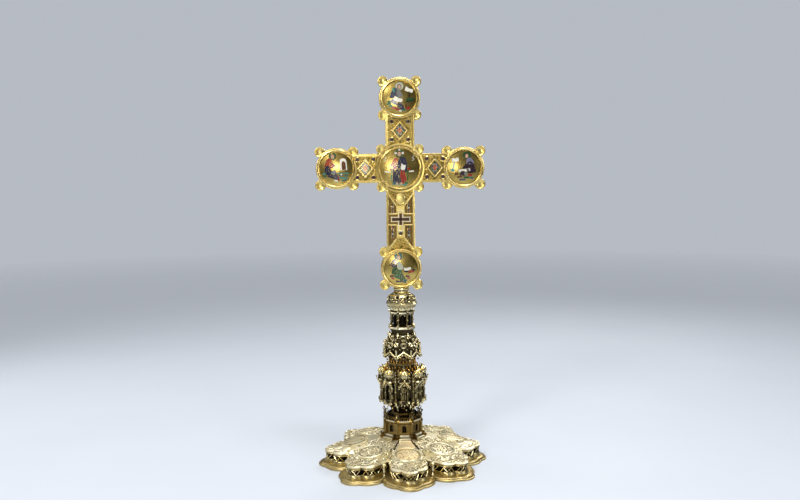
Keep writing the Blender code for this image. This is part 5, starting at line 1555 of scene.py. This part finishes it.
def makeFootTop():
    relief = {"pitch": 2.7, "from": 30.0, "to": 94.0, "half": 27.0, "edge": 4.6, "flankEdge": 1.6,
              "leaf": 2.9, "medallion": 17.2, "path": 46.0, "pathHalf": 7.4, "pathSpread": 0.32}
    line = wallLine
    bm = bmesh.new()
    turns = [math.atan2(p.x, -p.y) - stand["turn"] for p in line]
    rings = [drawn(line, 0.4, foot["wallTop"] - 0.9), drawn(line, -0.35, foot["wallTop"] - 0.3)]
    for inset in (-0.2, 0.7, 2.0, 4.0, 6.4, 9.0, 11.5, 14.0):
        rings.append([(*(point * (1 - inset / point.length)),
                       topHeight(turn, point.length - max(0.4, inset)) + 0.1)
                      for turn, point in zip(turns, line)])
    for radius in (43.0, 35.0, 27.0, 24.0):
        rings.append([tuple(topPoint(turn, radius, 0.1)) for turn in turns])
    skin(bm, rings)
    random.seed(11)
    leaves, grains, curls = [], [], []
    pitch = relief["pitch"]
    for number, angle in enumerate(faces()):
        smooth = number in foot["sideLobes"]      # plain plates with broad leaves
        rows = int((relief["to"] - relief["from"]) / pitch)
        reach = int(relief["half"] / pitch)
        for i in range(rows):
            for j in range(-reach, reach + 1):
                along = relief["from"] + pitch * (i + random.uniform(0.2, 0.8))
                aside = pitch * (j + (0.5 if i % 2 else 0.0) + random.uniform(-0.3, 0.3))
                turn, radius = math.atan2(aside, along), math.hypot(along, aside)
                margin = relief["edge" if abs(turn) < foot["flankAngle"] else "flankEdge"]
                if abs(turn) > math.pi / 8 - 0.012 or radius > edgeRadius(angle + turn) - margin:
                    continue
                if math.hypot(aside, along - foot["medallion"]) < relief["medallion"]:
                    continue
                if smooth and abs(turn) < 0.3:
                    continue
                path = relief["pathHalf"] + (along - relief["from"]) * relief["pathSpread"]
                if number == 0 and along < relief["path"] and abs(aside) < path:
                    continue
                size = relief["leaf"] * random.uniform(0.75, 1.2)
                spin = random.choice((0.0, 0.8, -0.8, 1.6, 2.4, math.pi)) + random.uniform(-0.3, 0.3)
                if (i + 2 * j) % 5 < 2:
                    curls.append(topPlace(angle + turn, radius, spin, 0.45)
                                 @ sized(size * 0.42, size * 0.42, size * 0.6))
                else:
                    leaves.append(topPlace(angle + turn, radius, spin)
                                  @ sized(size * 0.85, size * 1.15, size * 0.95))
                if (i + j) % 2 == 0:
                    grains.append(topPlace(angle + turn + 0.016, radius - 1.2, 0.0, 0.5)
                                  @ sized(random.uniform(0.6, 1.05)))
        for k in range(-7, 8):         # a fan of broad leaves inside the rim
            turn = k * 0.041
            edge = edgeRadius(angle + turn)
            leaves.append(topPlace(angle + turn, edge - 6.6, -k * 0.1, 0.1) @ sized(4.0, 5.6, 2.4))
            if k % 2 == 0:
                grains.append(topPlace(angle + turn, edge - 7.0, 0.0, 0.6) @ sized(1.0))
    stamp(bm, "leaf", leaves)
    stamp(bm, "scroll", curls)
    stamp(bm, "grain", grains)
    for angle in corners():            # ridges run down the valleys between the lobes
        wireAlong(bm, [tuple(topPoint(angle, radius, 0.5)) for radius in (30, 38, 46, 53)], 0.6)
        wireAlong(bm, [tuple(topPoint(angle + 0.05, radius, 0.3)) for radius in (36, 44, 52)], 0.35)
    finishPiece(bm, "footTop", "paleGilt", ["foot_dome"])
    veins = bmesh.new()                # dark lines between the broad leaves of the side lobes
    for angle in [faces()[number] for number in foot["sideLobes"]]:
        for k in (-3, -1, 1, 3):
            spots = []
            for s in range(8):
                radius = 44.0 + 5.4 * s
                turn = k * (0.030 + 0.055 * math.sin(math.pi * min(1.0, s / 6)))
                lift = 2.6 if abs(radius - foot["medallion"]) < 15.4 - 0.6 * abs(k) else 0.4
                spots.append(tuple(topPoint(angle + turn, radius, lift)))
            wireAlong(veins, spots[:8 - abs(k) // 2], 0.3)
    finishPiece(veins, "lobeVeins", "shadeGilt")


def makeMedallions():
    radius = foot["medallionRadius"]
    tilt = math.atan(foot["slope"])
    for number, angle in enumerate(faces(), start=1):
        random.seed(100 + number)
        bm = bmesh.new()
        place = outAt(foot["medallion"], angle, lobeHeight(foot["medallion"]) + 0.3, tilt)
        front, plain = number == 1, number - 1 in foot["sideLobes"]
        profile = [(0, 0), (radius, 0), (radius, 0.9), (radius - 0.5, 1.6), (radius - 1.3, 1.9),
                   (radius - 1.9, 1.6), (radius - 2.3, 0.35), (radius - 3.0, 0.3), (radius - 3.6, 0.8),
                   (radius - 6.5, 1.1), (0, 1.6)]
        if front:
            profile[4:8] = [(radius - 1.0, 2.3), (radius - 1.5, 2.1), (radius - 1.9, 0.3),
                            (radius - 3.2, 0.2)]
        if plain:
            profile = [(0, 0), (radius, 0), (radius, 0.8), (radius - 0.6, 1.3), (radius - 2.0, 1.4),
                       (radius - 5.0, 2.0), (0, 2.6)]
        spun(bm, profile, 48, place)
        beads = beadRing(radius - 0.1, 0.62, 1.6, place, 1.1)
        relief = []
        if plain:
            for k in (-2, -1, 0, 1, 2):
                leafPlace = place @ shift(k * 4.2, 14.0 - abs(k) * 1.6, 1.2)
                relief.append(leafPlace @ twist(math.pi + k * 0.14) @ sized(7.6, 27.0 - 3 * abs(k), 1.8))
        else:
            if not front:
                beads += beadRing(radius - 3.4, 0.45, 1.15, place, 1.0)
            pitch = 2.5
            for i in range(-5, 6):
                for j in range(-5, 6):
                    x, y = (i + random.uniform(-0.3, 0.3)) * pitch, (j + random.uniform(-0.3, 0.3)) * pitch
                    if math.hypot(x, y) > radius - 5.4:
                        continue
                    size = random.uniform(2.2, 3.2)
                    relief.append(place @ shift(x, y, 1.0) @ twist(random.uniform(0, full))
                                  @ sized(size * 0.9, size * 1.1, size * 0.9))
                    if (i + j) % 3 == 0:
                        beads.append(place @ shift(x + 1, y + 1, 1.9) @ sized(random.uniform(0.7, 1.1)))
        stamp(bm, "grain", beads)
        if front:
            inner = bmesh.new()
            spun(inner, [(0, 1.65), (radius - 4.0, 1.1), (radius - 3.4, 0.5), (0, 0.4)], 40, place)
            stamp(inner, "leaf", relief)
            finishPiece(inner, "frontRelief", "peachGilt")
        else:
            stamp(bm, "leaf", relief)
        finishPiece(bm, f"medallion_{number}", "paleGilt", [f"foot_medallion_{number}"])


def makePathPanel():
    # the plain warm panel that leads from the sills to the front medallion
    bm = bmesh.new()
    spots = []
    for radius, half in ((28.5, 6.6), (34.0, 8.2), (40.0, 9.8), (45.5, 11.0)):
        spots.append([topPoint(math.atan2(side * half, radius), math.hypot(radius, half), 0.9)
                      for side in (-1, -0.5, 0, 0.5, 1)])
    for lower, upper in zip(spots, spots[1:]):
        for k in range(4):
            bm.faces.new([bm.verts.new(p) for p in (lower[k], lower[k + 1], upper[k + 1], upper[k])])
    bmesh.ops.remove_doubles(bm, verts=bm.verts[:], dist=0.001)
    bmesh.ops.solidify(bm, geom=bm.faces[:], thickness=0.9)
    borderShadows = bmesh.new()
    for side, way in ((0, -1), (4, 1)):
        wireAlong(bm, [tuple(row[side]) for row in spots], 0.55)
        edge = [Vector(row[side]) for row in spots]
        for k, (a, b) in enumerate(zip(edge, edge[1:])):
            out = Vector((way * (1.3 + 0.9 * k), 0, 0.5))
            # the dark rods beside the panel's edges are painted shadow lines
            rod(borderShadows, a + out, b + out, 0.75)
            rod(borderShadows, b + out, b + out + Vector((way * 1.4, -0.4, 0)), 0.75)
            beside = out + Vector((way * 1.4, 0, 0))
            rod(bm, a + beside, b + beside, 0.6)
    finishPiece(bm, "pathPanel", "peachGilt")
    finishPiece(borderShadows, "pathBorderShadows", "paintedShadowGilt")


def makePinnacles():
    bm = bmesh.new()
    z = low("foot_pinnacle_1")
    tall = high("foot_pinnacle_1") - z
    shaft = [(0, z), (2.4, z), (2.4, z + 1.4), (1.6, z + 2.4), (1.5, z + tall - 7.2), (2.2, z + tall - 6.4),
             (2.2, z + tall - 5.4), (1.2, z + tall - 4.8), (0, z + tall - 4.6)]
    beads = []
    for number in range(1, 9):
        spot = middle(f"foot_pinnacle_{number}")
        spun(bm, shaft, 12, shift(spot.x, spot.y, 0))
        beads.append(shift(spot.x, spot.y, z + tall - 2.6) @ sized(2.6))
    stamp(bm, "knob", beads)
    finishPiece(bm, "pinnacles", "brightGilt", [f"foot_pinnacle_{k}" for k in range(1, 9)])


makeFootRim()
makeGalleryWall()
makeFootTop()
makeMedallions()
makePathPanel()
makePinnacles()
print("foot raised")


# Floor, light and camera

def makeStudio():
    studio = {"floorRadius": 4.0, "clear": 0.8, "faded": 3.6, "backdrop": (0.47, 0.50, 0.55),
              "below": 0.02, "level": 0.05, "above": 0.34, "horizon": 0.35, "drop": 0.0002}
    bpy.context.scene.view_settings.view_transform = "Standard"
    bm = bmesh.new()
    bmesh.ops.create_circle(bm, cap_ends=True, radius=studio["floorRadius"], segments=96,
                            matrix=shift(0, 0, -studio["drop"]))
    mesh = bpy.data.meshes.new("floor")
    bm.to_mesh(mesh)
    bm.free()
    mesh.materials.append(floorLook(studio["clear"], studio["faded"]).material)
    floor = bpy.data.objects.new("floor", mesh)
    bpy.context.scene.collection.objects.link(floor)
    lamps = {
        # place, what it faces, size, power, colour
        "key": ((-0.62, -1.00, 1.05), (0, 0, 0.30), 0.30, 8.0, (1.0, 0.97, 0.90)),
        "fill": ((0.95, -0.80, 0.60), (0, 0, 0.28), 0.40, 3.2, (0.95, 0.97, 1.0)),
        "low": ((-0.20, -1.30, 0.45), (0, 0, 0.20), 0.22, 2.0, (1.0, 0.98, 0.94)),
        "top": ((0.10, -0.25, 1.30), (0, 0, 0.0), 0.32, 7.0, (1.0, 0.98, 0.93)),
        "back": ((0.50, 0.95, 0.95), (0, 0, 0.25), 0.45, 4.5, (1.0, 0.96, 0.90)),
        "side": ((-0.95, 0.35, 0.60), (0, 0, 0.25), 0.45, 2.4, (1.0, 0.97, 0.92)),
    }
    for name, (where, target, size, power, colour) in lamps.items():
        light = bpy.data.lights.new(name, "AREA")
        light.size = size
        light.energy = power
        light.color = colour
        lamp = bpy.data.objects.new(name, light)
        lamp.location = where
        lamp.rotation_euler = (Vector(target) - Vector(where)).to_track_quat("-Z", "Y").to_euler()
        bpy.context.scene.collection.objects.link(lamp)
    world = bpy.data.worlds.new("studio")
    world.use_nodes = True
    bpy.context.scene.world = world
    tree = world.node_tree
    path = tree.nodes.new("ShaderNodeLightPath")
    aim = tree.nodes.new("ShaderNodeTexCoord")
    parts = tree.nodes.new("ShaderNodeSeparateXYZ")
    sky = tree.nodes.new("ShaderNodeValToRGB")
    mix = tree.nodes.new("ShaderNodeMix")
    mix.data_type = "RGBA"
    stops = sky.color_ramp.elements
    for stop, place, shade in ((stops[0], 0.0, "below"), (stops[1], 1.0, "above"),
                               (stops.new(studio["horizon"]), studio["horizon"], "level")):
        stop.position = place
        stop.color = (studio[shade], studio[shade], studio[shade] * 1.06, 1.0)
    tree.links.new(aim.outputs["Generated"], parts.inputs[0])
    tree.links.new(parts.outputs["Z"], sky.inputs[0])
    tree.links.new(path.outputs["Is Camera Ray"], mix.inputs[0])
    tree.links.new(sky.outputs[0], mix.inputs[6])
    mix.inputs[7].default_value = (*studio["backdrop"], 1.0)
    tree.links.new(mix.outputs[2], tree.nodes["Background"].inputs["Color"])


def makeCamera():
    # metres, millimetres and degrees
    camera = {"place": (-0.0012, -0.953, 0.3335), "lens": 35.1, "down": 4.2, "roll": -0.6}
    view = bpy.data.cameras.new("photographView")
    view.sensor_width = 36.0
    view.lens = camera["lens"]
    eye = bpy.data.objects.new("photographView", view)
    tip = Matrix.Rotation(math.radians(90 - camera["down"]), 4, "X")
    eye.matrix_world = Matrix.Translation(camera["place"]) @ tip @ twist(math.radians(camera["roll"]))
    bpy.context.scene.collection.objects.link(eye)
    bpy.context.scene.camera = eye


makeStudio()
makeCamera()
print("studio lit")
